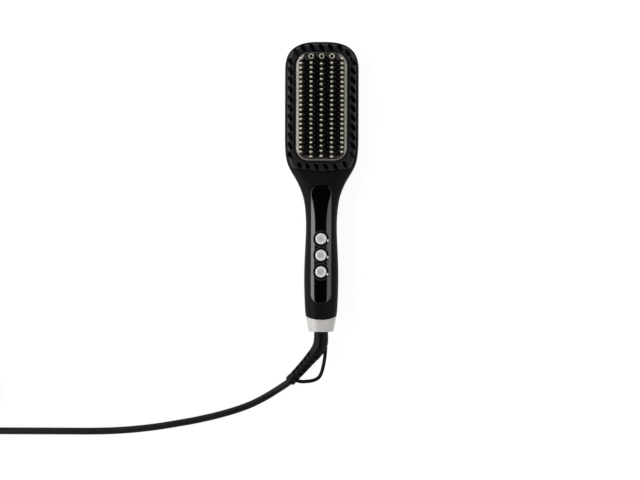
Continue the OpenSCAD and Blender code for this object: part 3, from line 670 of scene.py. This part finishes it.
def plug():
    st = []
    for s in np.arange(0, 13.01, 0.25):
        r = 4.0 + s / 13.0 * 1.0
        groove = 0.55 * (sstep(0.15, 0.4, (s % 2.6) / 2.6) - sstep(0.6, 0.85, (s % 2.6) / 2.6)) if 1.0 < s < 12 else 0
        st.append((s, r - groove, r - groove, 2.0))
    st += [(13.6, 5.3, 4.95, 2.1), (15, 6.9, 5.1, 2.3), (17, 8.8, 5.3, 2.6), (20, 11.2, 5.6, 2.9), (24, 13.8, 6.0, 3.2),
           (28, 15.9, 6.35, 3.5), (31, 16.8, 6.52, 3.7), (34, 16.98, 6.58, 3.8), (36.6, 16.95, 6.55, 3.8),
           (37.4, 16.75, 6.35, 3.8), (37.85, 16.35, 5.95, 3.8), (38.0, 15.8, 5.4, 3.8)]
    a = np.arange(72) * 2 * PI / 72
    R = []
    for s, w, h, n in st:
        c, q = np.abs(np.cos(a)), np.abs(np.sin(a))
        r = ((c / w) ** n + (q / h) ** n) ** (-1 / n)
        R.append(np.column_stack([PX + r * np.cos(a), np.full(72, PY + s), PZ + r * np.sin(a)]))
    return loft(R)


plug_ob = piece(make("mains_plug", *plug()), "cord_swivel", "boot_rubber", ("plug_body",), 40)
pins, sleeves = [], []
for s in (-1, 1):
    c = (PX + s * 9.5, PY + 38, PZ)
    sleeves.append(lathe([(0, -4.8), (1.98, -4.8), (1.98, 9.6), (1.9, 9.75), (1.7, 9.8), (0, 9.8)], 40, c, "y"))
    pins.append(lathe([(0, 8), (1.95, 8), (1.95, 16.9), (1.82, 17.9), (1.5, 18.6), (1.05, 18.95), (0, 19.0)], 40, c, "y"))
sleeve_ob = piece(make("pin_sleeves", *join(sleeves)), "cord_swivel", "seal_rubber", (), 30)
pin_ob = piece(make("mains_pins", *join(pins)), "cord_swivel", "pin_nickel", ("plug_pins",), 30)

# ------------------------------------------------------------------ strain relief and hanging loop
BOOT = [[0, -142.35, 15.8], [0, -148, 15.8], [0, -152, 15.8], [-0.3, -155.6, 15.7], [-1.4, -159.4, 15.3],
        [-3.8, -163.6, 14.7], [-7, -167.8, 13.9], [-10.6, -172, 13], [-14.3, -176.3, 12.1], [-18, -180.6, 11.2],
        [-21.7, -184.7, 10.4], [-25.3, -188.7, 9.6], [-29, -192.6, 8.7], [-31.6, -195.4, 8.1]]
BOOT_R = [7, 7, 7.25, 7.4, 7.2, 6.75, 6.35, 6.05, 5.65, 5.55, 5.45, 5.3, 5.2, 5.1]


def boot():
    Q, s = spline(BOOT, 0.3)
    knots = np.r_[0, np.cumsum(np.linalg.norm(np.diff(np.array(BOOT), axis=0), axis=1))]
    R0 = np.interp(s, knots, BOOT_R)
    g = np.exp(-0.5 * (np.arange(-24, 25) * 0.3 / 2.4) ** 2)
    R0 = np.convolve(np.pad(R0, 24, "edge"), g / g.sum(), "valid")
    T, S, U = frames(Q)
    k = 96
    th = np.degrees(np.arange(k) * 2 * PI / k)
    L = s[-1]
    P = []
    first, pitch = L - 5.2 - 6 * 6.0, 6.0
    for i in range(len(Q)):
        dep = np.zeros(k)
        q = s[i] - first
        for phase, lo, hi in ((0.0, 96, 163), (0.5, 17, 84), (0.5, -84, -17), (0.0, -163, -96)):
            n = math.floor((q - phase * pitch) / pitch)
            if 0 <= n < (6 if phase == 0 else 5):
                f = (q - phase * pitch) - n * pitch
                a = th if lo >= 0 else np.where(th > 180, th - 360, th)
                across = sstep(lo - 4, lo + 3, a) * (1 - sstep(hi - 3, hi + 4, a))
                dep += 1.75 * across * float(sstep(1.2, 1.7, f) * (1 - sstep(4.3, 4.8, f)))
        r = R0[i] - dep
        # rounded ends
        e = L - s[i]
        if e < 0.9:
            r = r - 0.45 * (1 - math.sqrt(max(0, 1 - (1 - e / 0.9) ** 2)))
        # end collar
        r = r + 0.32 * (1 - float(sstep(4.4, 4.9, e)))
        c, q2 = np.cos(np.radians(th)), np.sin(np.radians(th))
        P.append(Q[i] + (r * c)[:, None] * S[i] + (r * q2)[:, None] * U[i])
    return loft(P)


piece(make("strain_relief", *boot()), "cord_swivel", "boot_rubber", ("cord_boot",), 38)

LOOP = [[4.7, -153, 15.5], [4.6, -160, 15.2], [4.2, -166, 14.6], [3.3, -173.6, 13.5], [1.6, -182, 12.2], [0.2, -186.8, 11.4],
        [-1.9, -190.6, 10.8], [-4.7, -192.9, 10.5], [-8.8, -194.4, 10], [-14.6, -195.3, 9.5], [-20.6, -195.5, 9.1],
        [-27, -193.6, 8.9]]


def hanging_loop():
    Q, s = spline(LOOP, 0.8)
    for _ in range(3):
        Q[1:-1] = 0.25 * Q[:-2] + 0.5 * Q[1:-1] + 0.25 * Q[2:]
    T, S, U = frames(Q)
    k = 48
    a = np.arange(k) * 2 * PI / k
    n, w, h = 2.8, 1.8, 1.3
    r = ((np.abs(np.cos(a)) / w) ** n + (np.abs(np.sin(a)) / h) ** n) ** (-1 / n)
    x, z = r * np.cos(a), r * np.sin(a)
    # two shallow grooves along the strap's faces, with a rib between them
    dip = 0.28 * (np.exp(-((np.abs(x) - 0.85) / 0.3) ** 2)) * (np.abs(z) > 0.6)
    z = z - np.sign(z) * dip
    P = [q + np.outer(x, S[i]) + np.outer(z, U[i]) for i, q in enumerate(Q)]
    return loft(P)


piece(make("loop_strap", *hanging_loop()), "cord_swivel", "boot_rubber", ("hang_loop",), 50)

# ------------------------------------------------------------------ case
front = make("front_case", *half_loft(0, 1, -133, k=64, lip=0.26))
cut(front, make("tool_a", *half_loft(WALL, 1, -140, k=36, skirt=2, step=3)))
cut(front, prism("tool_b", frame_line(0.15), 17.9, 60))
cut(front, prism("tool_c", rrect(20.3 + 0.24, -115.92, 2.42, 9.12, 10.12, 24, 60, 6), 17, 60))
cut(front, below_seam("tool_d"))
tidy(front)
piece(front, "case", "case_black", ("front_shell",), 30)

rear = make("rear_case", *half_loft(0, -1, -133, k=64, lip=0.26))
cav = make("tool_e", *half_loft(WALL, -1, -140, k=36, skirt=2, step=3))
cut(cav, block("tool_f", -27.6, 27.6, 26, 156, -3, 11.2))
for n, p in enumerate(SCREWS):
    cut(cav, make("tool_g%d" % n, *lathe([(0, -3), (3.4, -3), (3.4, 5.8), (0, 5.8)], 40, (p[0], p[1], 0))))
cut(rear, cav)
cut(rear, block("tool_h", -23.8, 23.8, 27.7, 160, -4, 9.8))
cut(rear, block("tool_i", -25.3, 25.3, 27.71, 161, 3.7, 6.3))
for n, p in enumerate(SCREWS):
    cut(rear, make("tool_j%d" % n, *lathe([(0, -2), (2.75, -2), (2.5, 1.2), (2.5, 4), (1.35, 4), (1.35, 8), (0, 8)], 48, (p[0], p[1], 0))))
cut(rear, make("tool_k", *lathe([(0, 0), (2.02, 0), (2.02, 6), (0, 6)], 32, (0, 24, 5.5), "y")))
cut(rear, below_seam("tool_l"))
tidy(rear)
piece(rear, "case", "case_black", ("rear_shell",), 30)


# ------------------------------------------------------------------ control panel
def panel():
    Y0, Y1, W = -115.8, 2.3, 20.3
    ins = [0, 0.02, 0.06, 0.12, 0.2, 0.3, 0.42, 0.7, 1.1, 1.6, 2.2, 2.9, 3.7, 4.6, 5.6, 6.6, 7.6, 8.5, 9.3, 9.9, 10.15]

    def ring(s, low):
        P = rrect(W - 2 * s, Y0 + s, Y1 - s, 9 - s, 10 - s, 24, 100, 4)
        if s > 10.1:
            P[:, 0] = 0
        e = 0.0 if s >= 0.42 or low else 0.42 - math.sqrt(max(0, 0.42**2 - (0.42 - s) ** 2))
        z = surface_z(P[:, 0], P[:, 1], -0.12) - e - (1.57 if low else 0)
        return np.column_stack([P, z])

    R = [ring(s, True) for s in ins[::-1] if s in (0, 2.2, 4.6, 7.6, 9.9, 10.15)] + [ring(s, False) for s in ins]
    return loft(R, cap=False)


pan = make("control_face", *panel())
for n, y in enumerate(BUTTON_Y):
    z = top_z(y)
    cut(pan, make("tool_m%d" % n, *lathe([(0, z - 3.4), (8.2, z - 3.4), (8.2, z - 1.75), (0, z - 1.75)], 72, (0, y, 0))), "UNION")
for n, y in enumerate(BUTTON_Y):
    z = top_z(y)
    pr = [(0, -6), (5.7, -6), (5.7, -2.12), (5.78, -2.08), (6.2, -2.04), (6.6, -1.93), (6.95, -1.77), (7.3, -1.5), (7.6, -1.2),
          (7.95, -0.8), (8.35, -0.3), (8.7, 0.2), (9.0, 0.7), (9.0, 4), (0, 4)]
    cut(pan, make("tool_n%d" % n, *lathe([(r, h + z) for r, h in pr], 128, (0, y, 0))))
tidy(pan)
piece(pan, "case", "gloss_black", ("control_panel",), 34)
# painted shade: faces inside each button's dish, below the panel's face, take the near-black slot_shade finish in place
# of the gloss
pan.data.materials.append(M["slot_shade"])
for poly in pan.data.polygons:
    c = np.array(poly.center) * 1000
    for y in BUTTON_Y:
        if math.hypot(c[0], c[1] - y) < 7.6 and c[2] < top_z(y) - 1.0:
            poly.material_index = 1

# painted highlight: small glowing white windows at each button's dish rim, one angle per button, placed where the
# glossy dish shows a highlight
HIGHLIGHT_SPOT_ANGLES = [-15, -14, -20]


def window(i):
    a = math.radians(HIGHLIGHT_SPOT_ANGLES[i])
    c = (6.95 * math.cos(a), BUTTON_Y[i] + 6.95 * math.sin(a))
    zt = top_z(BUTTON_Y[i]) - 1.18
    R = []
    for s, h in [(0, -2.1), (0, -0.32), (0.04, -0.16), (0.14, -0.05), (0.3, -0.01), (0.5, 0)]:
        P = []
        r = 0.65 - s
        for t in np.linspace(0, 2 * PI, 40, endpoint=False):
            x, y = r * math.cos(t), r * math.sin(t) + (0.65 if math.sin(t) > 0 else -0.65)
            P.append((c[0] + x * math.cos(a) - y * math.sin(a), c[1] + x * math.sin(a) + y * math.cos(a), zt + h))
        R.append(P)
    return loft(R)


# painted highlight: the glowing windows beside the three buttons
piece(make("highlight_windows", *join([window(i) for i in range(3)])), "case", "window_white", ("led_windows",), 50)


# ------------------------------------------------------------------ buttons and their symbols
def dish(r):
    return 18.15 - math.sqrt(18.0**2 - r * r)


def button_cap(y):
    z = top_z(y)
    pr = [(0, -5.4), (5.5, -5.4), (5.5, -4.6), (6.0, -4.6), (6.0, -3.7), (5.5, -3.6), (5.5, -1.0), (5.38, -0.6), (5.2, -0.22), (5.06, 0.08), (4.92, 0.32),
          (4.74, 0.47), (4.5, 0.55), (4.1, 0.55), (3.92, 0.54), (3.84, 0.48), (3.78, 0.38)]
    pr += [(r, dish(r) - 0.10 * (r / 3.75)) for r in (3.7, 3.4, 3.0, 2.5, 2.0, 1.5, 1.0, 0.5)] + [(0, dish(0))]
    return lathe([(r, h + z) for r, h in pr], 112, (0, y, 0))


def stroke(y, P, width=0.42, closed=False):
    """A raised line on the button's dish, through the points P (x, y about the button's centre)."""
    P = np.asarray(P, float)
    if closed:
        P = np.vstack([P, P[:1]])
    s = np.r_[0, np.cumsum(np.linalg.norm(np.diff(P, axis=0), axis=1))]
    n = max(3, int(s[-1] / 0.2))
    u = np.linspace(0, s[-1], n + 1)
    D = np.column_stack([np.interp(u, s, P[:, 0]), np.interp(u, s, P[:, 1])])
    if closed:
        D = D[:-1]
        t = np.roll(D, -1, 0) - np.roll(D, 1, 0)
    else:
        t = np.gradient(D, axis=0)
    t /= np.linalg.norm(t, axis=1)[:, None]
    nrm = np.column_stack([t[:, 1], -t[:, 0]])
    z0 = top_z(y)
    R = []
    for c, q in zip(D, nrm):
        a, b = c + q * width / 2, c - q * width / 2
        za, zb = (z0 + dish(math.hypot(*p)) - 0.09 for p in (a, b))
        R.append([(a[0], y + a[1], za - 0.12), (b[0], y + b[1], zb - 0.12), (b[0], y + b[1], zb + 0.07), (a[0], y + a[1], za + 0.07)])
    return loft(R, cap=not closed, around=closed)


def circle_pts(r, a0, a1, n=40, c=(0, 0)):
    t = np.radians(np.linspace(a0, a1, n))
    return np.column_stack([c[0] + r * np.cos(t), c[1] + r * np.sin(t)])


y0, y1, y2 = BUTTON_Y
for title, body, node, y in (("plus_cap", "plus_button", "button_plus", y0), ("steam_cap", "steam_button", "button_steam", y1),
                             ("power_cap", "power_button", "button_power", y2)):
    ob = piece(make(title, *button_cap(y)), body, "button_white", (node,), 40)
    ob.data.materials.append(M["button_rim"])
    for poly in ob.data.polygons:
        c = poly.center
        if math.hypot(c[0], c[1] - y * 0.001) > 0.0038:
            poly.material_index = 1
piece(make("plus_mark", *join([stroke(y0, [(-1.7, 0), (1.7, 0)], 0.62), stroke(y0, [(0, -1.7), (0, -0.31)], 0.62),
                               stroke(y0, [(0, 0.31), (0, 1.7)], 0.62)])), "plus_button", "icon_grey")
waves = []
for x0 in (-1.3, 0, 1.3):
    t = np.linspace(-1, 1, 24)
    waves.append(stroke(y1, np.column_stack([x0 + 0.32 * np.sin(t * PI), 1.6 * t]), 0.55))
piece(make("steam_mark", *join(waves)), "steam_button", "icon_grey")
piece(make("power_mark", *join([stroke(y2, circle_pts(1.75, 128, 412), 0.55), stroke(y2, [(0, 0.35), (0, 2.15)], 0.55)])),
      "power_button", "icon_grey")

# ------------------------------------------------------------------ guard round the plate
G_OUT = frame_line(0.0)
G_IN = rrect(52.6, 24.5, 133.4, 13.8, 13.8, 64, 140, 30)


def line_dist(X, L):
    """Distance of points X to a closed line L."""
    A, B = L, np.roll(L, -1, axis=0)
    out = np.empty(len(X))
    D = B - A
    dd = (D**2).sum(1)
    for i, p in enumerate(X):
        t = np.clip(((p - A) * D).sum(1) / dd, 0, 1)
        out[i] = np.sqrt((((A + D * t[:, None]) - p) ** 2).sum(1).min())
    return out


def guard_z(u, v):
    """Level of the guard at u from its outer and v from its inner edge."""
    u, v = np.asarray(u, float), np.asarray(v, float)
    z = 24.2 - 1.95 * np.clip(1 - u / 2.4, 0, 1) ** 2.2
    s = np.clip((u - 2.4) / np.maximum(u + v - 2.4, 0.1), 0, 1)
    z = z - 1.25 * s**1.5
    return z - 1.1 * np.clip(1 - v / 1.5, 0, 1) ** 2


def guard():
    nrm = np.roll(G_IN, -1, 0) - np.roll(G_IN, 1, 0)
    nrm = np.column_stack([nrm[:, 1], -nrm[:, 0]])
    nrm /= np.linalg.norm(nrm, axis=1)[:, None]
    A, B = G_OUT, np.roll(G_OUT, -1, axis=0)
    D = B - A
    R = []
    for p, q in zip(G_IN, nrm):
        det = q[0] * (-D[:, 1]) + q[1] * D[:, 0]
        rx, ry = A[:, 0] - p[0], A[:, 1] - p[1]
        with np.errstate(divide="ignore", invalid="ignore"):
            u = (rx * (-D[:, 1]) + ry * D[:, 0]) / det
            v = (q[0] * ry - q[1] * rx) / det
        ok = (v >= -1e-6) & (v <= 1 + 1e-6) & (u > 0)
        W = float(np.min(u[ok]))
        us = [0, 0.1, 0.28, 0.55, 0.9, 1.35, 1.9, 2.5]
        vs = [1.9, 1.3, 0.85, 0.55, 0.3, 0.12, 0]
        mid = [2.5 + (W - 4.4) * t for t in (0.2, 0.4, 0.6, 0.8)]
        rows = us + mid + [W - v for v in vs]
        z = guard_z(np.array(rows), W - np.array(rows))
        P = [(*(p + q * W), 18.62)]
        P += [(*(p + q * (W - a)), b) for a, b in zip(rows, z)]
        P += [(*p, 18.62)]
        R.append(P)
    return loft(R, around=True)


LEAN = math.radians(-58)
SLOTS = [(s * 31, 123.6 - 9.29 * i, 2.6, 6.4) for i in range(11) for s in (-1, 1)]
SLOTS += [(x, 137.3, 3.0, 7.4) for x in (-18.4, -9.3, 0, 9, 18)]
SLOTS += [(x, 19, 2.9, 6.4) for x in (-13.3, -4.6, 4.6, 14)]
SLOTS += [(-25.8, 133, 2.8, 7), (26, 132.4, 2.8, 6.4), (-21.5, 20.3, 2.8, 6.4), (23.4, 21.6, 2.8, 6)]


def slot_tool(x, y, w, L):
    k = 48
    t = np.arange(k) * 2 * PI / k
    n = 1.85
    R = []
    for depth, grow in [(None, 0.0), (1.6, 0.04), (0.8, 0.06), (0.4, 0.1), (0.2, 0.17), (0.07, 0.28), (0.0, 0.42), (-0.2, 0.62), (-0.8, 1.0)]:
        a, b = L / 2 + 0.8 + grow, w / 2 + 0.50 + grow
        r = ((np.abs(np.cos(t)) / a) ** n + (np.abs(np.sin(t)) / b) ** n) ** (-1 / n)
        px, py = r * np.cos(t), r * np.sin(t)
        X = np.column_stack([x + px * math.cos(LEAN) - py * math.sin(LEAN), y + px * math.sin(LEAN) + py * math.cos(LEAN)])
        z = np.full(k, 17.0) if depth is None else guard_z(line_dist(X, G_OUT), line_dist(X, G_IN)) - depth
        R.append(np.column_stack([X, z]))
    return loft(R)


guard_ob = make("guard_ring", *guard())
cut(guard_ob, make("tool_o", *join([slot_tool(*s) for s in SLOTS])))
tidy(guard_ob)
piece(guard_ob, "case", "guard_charcoal", ("head_frame",), 36)
# painted shade: faces inside each slot's outline take the near-black slot_shade finish, a painted shade of the slots'
# walls and floors
guard_ob.data.materials.append(M["slot_shade"])
for poly in guard_ob.data.polygons:
    c = np.array(poly.center) * 1000
    for x, y, w, L in SLOTS:
        if abs(c[0] - x) < 8 and abs(c[1] - y) < 8:
            px = (c[0] - x) * math.cos(LEAN) + (c[1] - y) * math.sin(LEAN)
            py = -(c[0] - x) * math.sin(LEAN) + (c[1] - y) * math.cos(LEAN)
            if (abs(px) / (L / 2 + 1.05)) ** 1.85 + (abs(py) / (w / 2 + 0.76)) ** 1.85 < 1:
                poly.material_index = 1


# ------------------------------------------------------------------ heating plate, teeth and bristles
def tray():
    rim = [(0, 18.5), (0, 23.2), (0.08, 23.55), (0.3, 23.92), (0.7, 24.28), (1.2, 24.6), (1.7, 24.86), (2.05, 24.97), (2.3, 25.0),
           (2.5, 24.9), (2.65, 24.6), (2.75, 24.2), (3.0, 22.7), (3.2, 21.5), (3.45, 20.9), (3.8, 20.62), (4.3, 20.5)]
    base = rrect(50.6, 25.5, 132.4, 12.8, 12.8, 40, 60, 20)
    nrm = np.roll(base, -1, 0) - np.roll(base, 1, 0)
    nrm = np.abs(nrm[:, 1]) / np.linalg.norm(nrm, axis=1)
    wide = 0.42 + 0.80 * sstep(0.80, 1.0, nrm)
    wide = wide + 0.85 * np.exp(-((nrm - 0.62) / 0.17) ** 2) * (base[:, 1] > 110)
    wide = wide * (1 - 0.5 * (1 - sstep(0.3, 0.5, nrm)) * (base[:, 1] > 110))
    R = []
    for s, z in rim:
        A = rrect(50.6 - 2 * s, 25.5 + s, 132.4 - s, 12.8 - s, 12.8 - s, 40, 60, 20)
        P = base + (A - base) * wide[:, None]
        R.append(np.column_stack([P, np.full(len(P), z)]))
    return loft(R)


FLOOR = 20.5
STEAM = [(s * 5.1, 45.2 + 13.5 * i) for s in (-1, 1) for i in range(6)]
tray_ob = make("plate_tray", *tray())
cut(tray_ob, make("tool_p", *join([lathe([(0, 18), (0.75, 18), (0.75, 20.3), (0.95, 20.6), (0.95, 22), (0, 22)], 24, (x, y, 0)) for x, y in STEAM])))
tidy(tray_ob)
piece(tray_ob, "case", "champagne_metal", ("heating_plate",), 34)


def oval(cx, cy, hx, hy, z, n=2.5, k=24):
    t = np.arange(k) * 2 * PI / k
    r = ((np.abs(np.cos(t)) / hx) ** n + (np.abs(np.sin(t)) / hy) ** n) ** (-1 / n)
    return np.column_stack([cx + r * np.cos(t), cy + r * np.sin(t), np.full(k, z)])


def bar(x0, x1, y0, y1, z0, z1, b=0.25, slope=0.0):
    """A strip with softly broken upper edges; its ends may slope outwards."""
    R = []
    for s, z in [(0, z0), (0, z1 - b), (b * 0.3, z1 - b * 0.3), (b, z1)]:
        g = slope * min(1, (z - z0) / (z1 - z0))
        P = rrect(x1 - x0 - 2 * s, y0 + s - g, y1 - s + g, 0.3, 0.3, 4, 2, 2)
        P[:, 0] += (x0 + x1) / 2
        R.append(np.column_stack([P, np.full(len(P), z)]))
    return loft(R)


def comb(x, y0, n, pitch, a, b, last=0):
    parts = [bar(x - 1.7, x + 1.7, y0 + a - 0.3, y0 + (n - 1) * pitch - b + 0.3, FLOOR + 0.02, FLOOR + 1.8, 0.35)]
    for i in range(n - last):
        y = y0 + i * pitch
        R = [oval(x, y, hx, hy, FLOOR + h, e) for hx, hy, h, e in
             [(1.69, 1.3, 1.4, 3.2), (1.69, 1.24, 2.2, 3.2), (1.69, 1.14, 5, 3.2), (1.68, 1.05, 9, 3.0), (1.66, 1.0, 11.8, 2.8),
              (1.6, 0.97, 12.8, 2.6), (1.47, 0.88, 13.4, 2.4), (1.22, 0.73, 13.82, 2.3), (0.9, 0.53, 14.05, 2.2),
              (0.5, 0.3, 14.17, 2.1), (0.15, 0.1, 14.2, 2.0)]]
        parts.append(loft(R))
    return parts


parts = comb(0, 29.1, 21, 5.03, -0.5, 0.5, 2)
for s in (-1, 1):
    parts += comb(s * 10.15, 28.5, 23, 4.6, 0.1, 0.5, 2)
    parts += comb(s * 20.2, 33.2, 21, 4.58, 2.5, 2.5)
for x in (-10.15, 0, 10.15):
    parts.append(lathe([(0, 20.6), (2.8, 20.6), (2.8, 28.6), (2.72, 29.1), (2.5, 29.4), (2.15, 29.5), (1.8, 29.4), (1.55, 29.1),
                        (1.45, 28.6), (1.4, 23.0), (0, 22.9)], 40, (x, 127.75, 0)))
combs_ob = make("comb_rows", *join(parts))
piece(combs_ob, "case", "champagne_teeth", ("heated_combs",), 40)
combs_ob.data.materials.append(M["comb_boss"])
for poly in combs_ob.data.polygons:
    c = np.array(poly.center) * 1000
    if c[2] > 27 and min(math.hypot(c[0] - x, c[1] - 127.75) for x in (-10.15, 0, 10.15)) < 2.9:
        poly.material_index = 1

STRIPS = [(-15.2, 31.8, 21), (-5.1, 30.4, 22), (5.1, 30.4, 22), (15.2, 31.8, 21)]
parts = []
for x, y0s, n in STRIPS:
    parts.append(bar(x - 2.75, x + 2.75, y0s - 1.1, y0s + (n - 1) * 4.66 + 1.1, FLOOR + 0.02, FLOOR + 1.6, 0.35))
    spots = [(x - 1.5, y0s + 4.66 * i) for i in range(n)] + [(x + 1.5, y0s + 4.66 * (i + 0.5)) for i in range(n - 1)]
    for px, py in spots:
        parts.append(lathe([(0.92, 1.3), (0.86, 1.75), (0.76, 2.2), (0.74, 8), (0.66, 14.5), (0.64, 15.7), (0.56, 16.08), (0.38, 16.3), (0.15, 16.39),
                            (0, 16.4)], 14, (px, py, FLOOR)))
piece(make("bristles", *join(parts)), "case", "bristle_black", ("bristle_strips",), 50)


# ------------------------------------------------------------------ end cap
def cap_theta(k=60):
    P, w, zc = arc(-136.0, 0.3, 1, k)
    w, h, zc, n = [float(v) for v in half(-136.0, 0.3, 1)]
    return np.arctan2(P[:, 2] - zc, P[:, 0])


def end_cap():
    q = cap_theta()
    th = np.r_[q, -q[1:-1][::-1]]

    def pts(yfun, d):
        y = np.full(len(th), -130.0)
        for _ in range(6):
            X = np.empty(len(th))
            Z = np.empty(len(th))
            for side in (1, -1):
                m = (np.sin(th) >= -1e-12) if side > 0 else (np.sin(th) < -1e-12)
                w, h, zc, n = half(y[m], d, side)
                c, s = np.abs(np.cos(th[m])), np.abs(np.sin(th[m]))
                r = ((c / w) ** n + (s / h) ** n) ** (-1 / n)
                X[m] = r * np.cos(th[m])
                Z[m] = zc + r * np.sin(th[m])
            y = yfun(X)
        return np.column_stack([X, y, Z])

    def hole(r, y):
        base = pts(lambda x: np.full(len(x), -144.3), 1.75)
        a = np.arctan2(base[:, 2] - AXIS_Z, base[:, 0])
        return np.column_stack([r * np.cos(a), np.full(len(a), y), AXIS_Z + r * np.sin(a)])

    def seam(e):
        return lambda x: seam_y(x) - e

    def const(y):
        return lambda x: np.full(len(x), float(y))

    R = [pts(seam(0.0), 0.85), pts(seam(0.06), 0.74), pts(seam(0.3), 0.44), pts(seam(0.42), 0.34), pts(seam(0.62), 0.3)]
    for f in np.linspace(0, 1, 13)[1:]:
        R.append(pts(lambda x, f=f: (seam_y(x) - 0.62) * (1 - f) - 143.5 * f, 0.3))
    for y, d in [(-143.75, 0.31), (-143.95, 0.35), (-144.12, 0.46), (-144.24, 0.62), (-144.29, 0.8), (-144.3, 1.0)]:
        R.append(pts(const(y), d))
    a, b = R[-1], hole(7.5, -144.3)
    R += [a * (1 - t) + b * t for t in (0.3, 0.6, 1.0)]
    R += [hole(7.25, -144.26), hole(7.14, -144.1), hole(7.12, -142.3), pts(const(-142.3), 2.1), pts(const(-133.6), 2.1),
          pts(const(-133.5), 3.9), pts(const(-123), 3.9), pts(const(-123), 2.56), pts(seam(0.0), 2.56)]
    return loft(R, around=True)


piece(make("cap_shell", *end_cap()), "case", "champagne_satin", ("end_cap",), 34)


# ------------------------------------------------------------------ water tank and its filler plug
def tank():
    body = []
    for s, z in [(0.9, 0), (0.35, 0.12), (0.1, 0.4), (0, 0.9), (0, 8.9), (0.1, 9.3), (0.5, 9.5)]:
        P = rrect(47 - 2 * s, 28.1 + s, 141 - s, 2 - s * 0.5, 9 - s, 20, 60, 12)
        body.append(np.column_stack([P, np.full(len(P), z)]))
    return loft(body)


tank_ob = make("tank_body", *tank())
rails = []
for s in (-1, 1):
    R = []
    for b, y in [(0.35, 30), (0, 30.6), (0, 125.4), (0.35, 126)]:
        x0, x1 = (22.9, 25.0 - b)
        R.append([(s * x0, y, 4 + b), (s * x1, y, 4 + b), (s * x1, y, 6 - b), (s * x0, y, 6 - b)])
    rails.append(loft(R))
for n, r in enumerate(rails):
    cut(tank_ob, make("tool_q%d" % n, *r), "UNION")
cut(tank_ob, make("tool_r", *lathe([(0, 136.4), (4.0, 136.4), (4.0, 140.6), (4.35, 141.1), (4.35, 144), (0, 144)], 48, (0, 0, 4.75), "y")))
cut(tank_ob, make("tool_s", *lathe([(0, 27), (2.1, 27), (2.1, 31), (0, 31)], 32, (0, 0, 5.5), "y")))
# grip grooves near the end that is pulled
for n in range(5):
    y = 122 + 3.2 * n
    hw = 14 - 0.6 * abs(n - 2)
    R = []
    for dy, z in [(-0.85, -0.6), (-0.55, 0.25), (0, 0.45), (0.55, 0.25), (0.85, -0.6)]:
        R.append((dy, z))
    a = np.array([[(-hw - 0.0, y + dy, z) for dy, z in R], [(hw, y + dy, z) for dy, z in R]])
    cut(tank_ob, make("tool_t%d" % n, *loft(a)))
tidy(tank_ob)
piece(tank_ob, "tank", "tank_smoke", ("water_tank",), 32)

fp = lathe([(0, 136.6), (3.7, 136.6), (3.94, 136.85), (3.94, 138), (3.8, 138.2), (3.94, 138.4), (3.94, 141.02), (4.3, 141.04), (4.55, 141.2), (4.6, 141.5),
            (4.55, 141.85), (4.3, 142.08), (3.6, 142.12), (0, 142.12)], 64, (0, 0, 4.75), "y")
tab = []
for s, y in [(0, 141.9), (0, 142.9), (0.12, 143.25), (0.35, 143.4)]:
    P = rrect(2.0 - 2 * s, 1.75 + s, 7.75 - s, 0.9, 0.9, 8, 2, 2)
    tab.append(np.column_stack([P[:, 0], np.full(len(P), y), P[:, 1]]))
piece(make("filler_stopper", *join([fp, loft(tab)])), "filler_plug", "seal_rubber", ("tank_filler_plug",), 36)

# ------------------------------------------------------------------ CAD nodes that stay, in their own finishes
for name, ob in NODES.items():
    if ob.hide_render:
        continue
    want = next(p["material_slot"] for p in frame["record"]["subparts"] if p["node"] == name)
    for slot in range(max(1, len(ob.material_slots))):
        if not ob.material_slots:
            ob.data.materials.append(M[want])
        else:
            ob.material_slots[slot].material = M[want]

# ------------------------------------------------------------------ floor, lights and surroundings
bpy.ops.mesh.primitive_plane_add(size=8, location=(0, 0, -0.00005))
floor = bpy.context.object
floor.name = "floor"
fm, fnt, fb = shader("floor_white")
fb.inputs["Roughness"].default_value = 0.9
fb.inputs["Specular IOR Level"].default_value = 0.1
fb.inputs["Base Color"].default_value = (0.13, 0.13, 0.13, 1)
fb.inputs["Emission Color"].default_value = (1, 1, 1, 1)
fb.inputs["Emission Strength"].default_value = 0.9
floor.data.materials.append(fm)


def area(name, loc, size, power, target=(0, 0, 0.02), color=(1, 1, 1)):
    L = bpy.data.lights.new(name, "AREA")
    L.shape = "RECTANGLE"
    L.size, L.size_y = size
    L.energy = power
    L.color = color
    ob = bpy.data.objects.new(name, L)
    scene.collection.objects.link(ob)
    ob.location = loc
    z = np.array(loc, float) - np.array(target, float)
    z /= np.linalg.norm(z)
    y = np.array([0, 1.0, 0])
    x = np.cross(y, z)
    x /= np.linalg.norm(x)
    y = np.cross(z, x)
    m = Matrix(((x[0], y[0], z[0]), (x[1], y[1], z[1]), (x[2], y[2], z[2])))
    ob.rotation_euler = m.to_euler()
    ob.visible_camera = False
    return ob


area("left_box", (-0.97, -0.02, 0.70), (0.88, 2.2), 23.5)
area("right_box", (0.80, -0.02, 0.70), (0.88, 2.2), 9.6)
area("head_box", (0.0, 1.1, 0.86), (0.9, 0.5), 3.6)
area("foot_box", (0.0, -1.15, 0.80), (0.9, 0.5), 2.4)

w = bpy.data.worlds.new("surroundings")
scene.world = w
w.use_nodes = True
wn = w.node_tree
bg = wn.nodes["Background"]
tc = wn.nodes.new("ShaderNodeTexCoord")
sep = wn.nodes.new("ShaderNodeSeparateXYZ")
wn.links.new(tc.outputs["Generated"], sep.inputs[0])
wr = wn.nodes.new("ShaderNodeValToRGB")
el = wr.color_ramp.elements
el[0].position, el[0].color = 0.0, (0.55, 0.55, 0.56, 1)
el[1].position, el[1].color = 0.75, (0.006, 0.006, 0.006, 1)
for p, c in ((0.12, 0.45), (0.3, 0.18), (0.5, 0.04)):
    e = el.new(p)
    e.color = (c, c, c, 1)
wn.links.new(sep.outputs["Z"], wr.inputs["Fac"])
wn.links.new(wr.outputs["Color"], bg.inputs["Color"])
bg.inputs["Strength"].default_value = 1.0
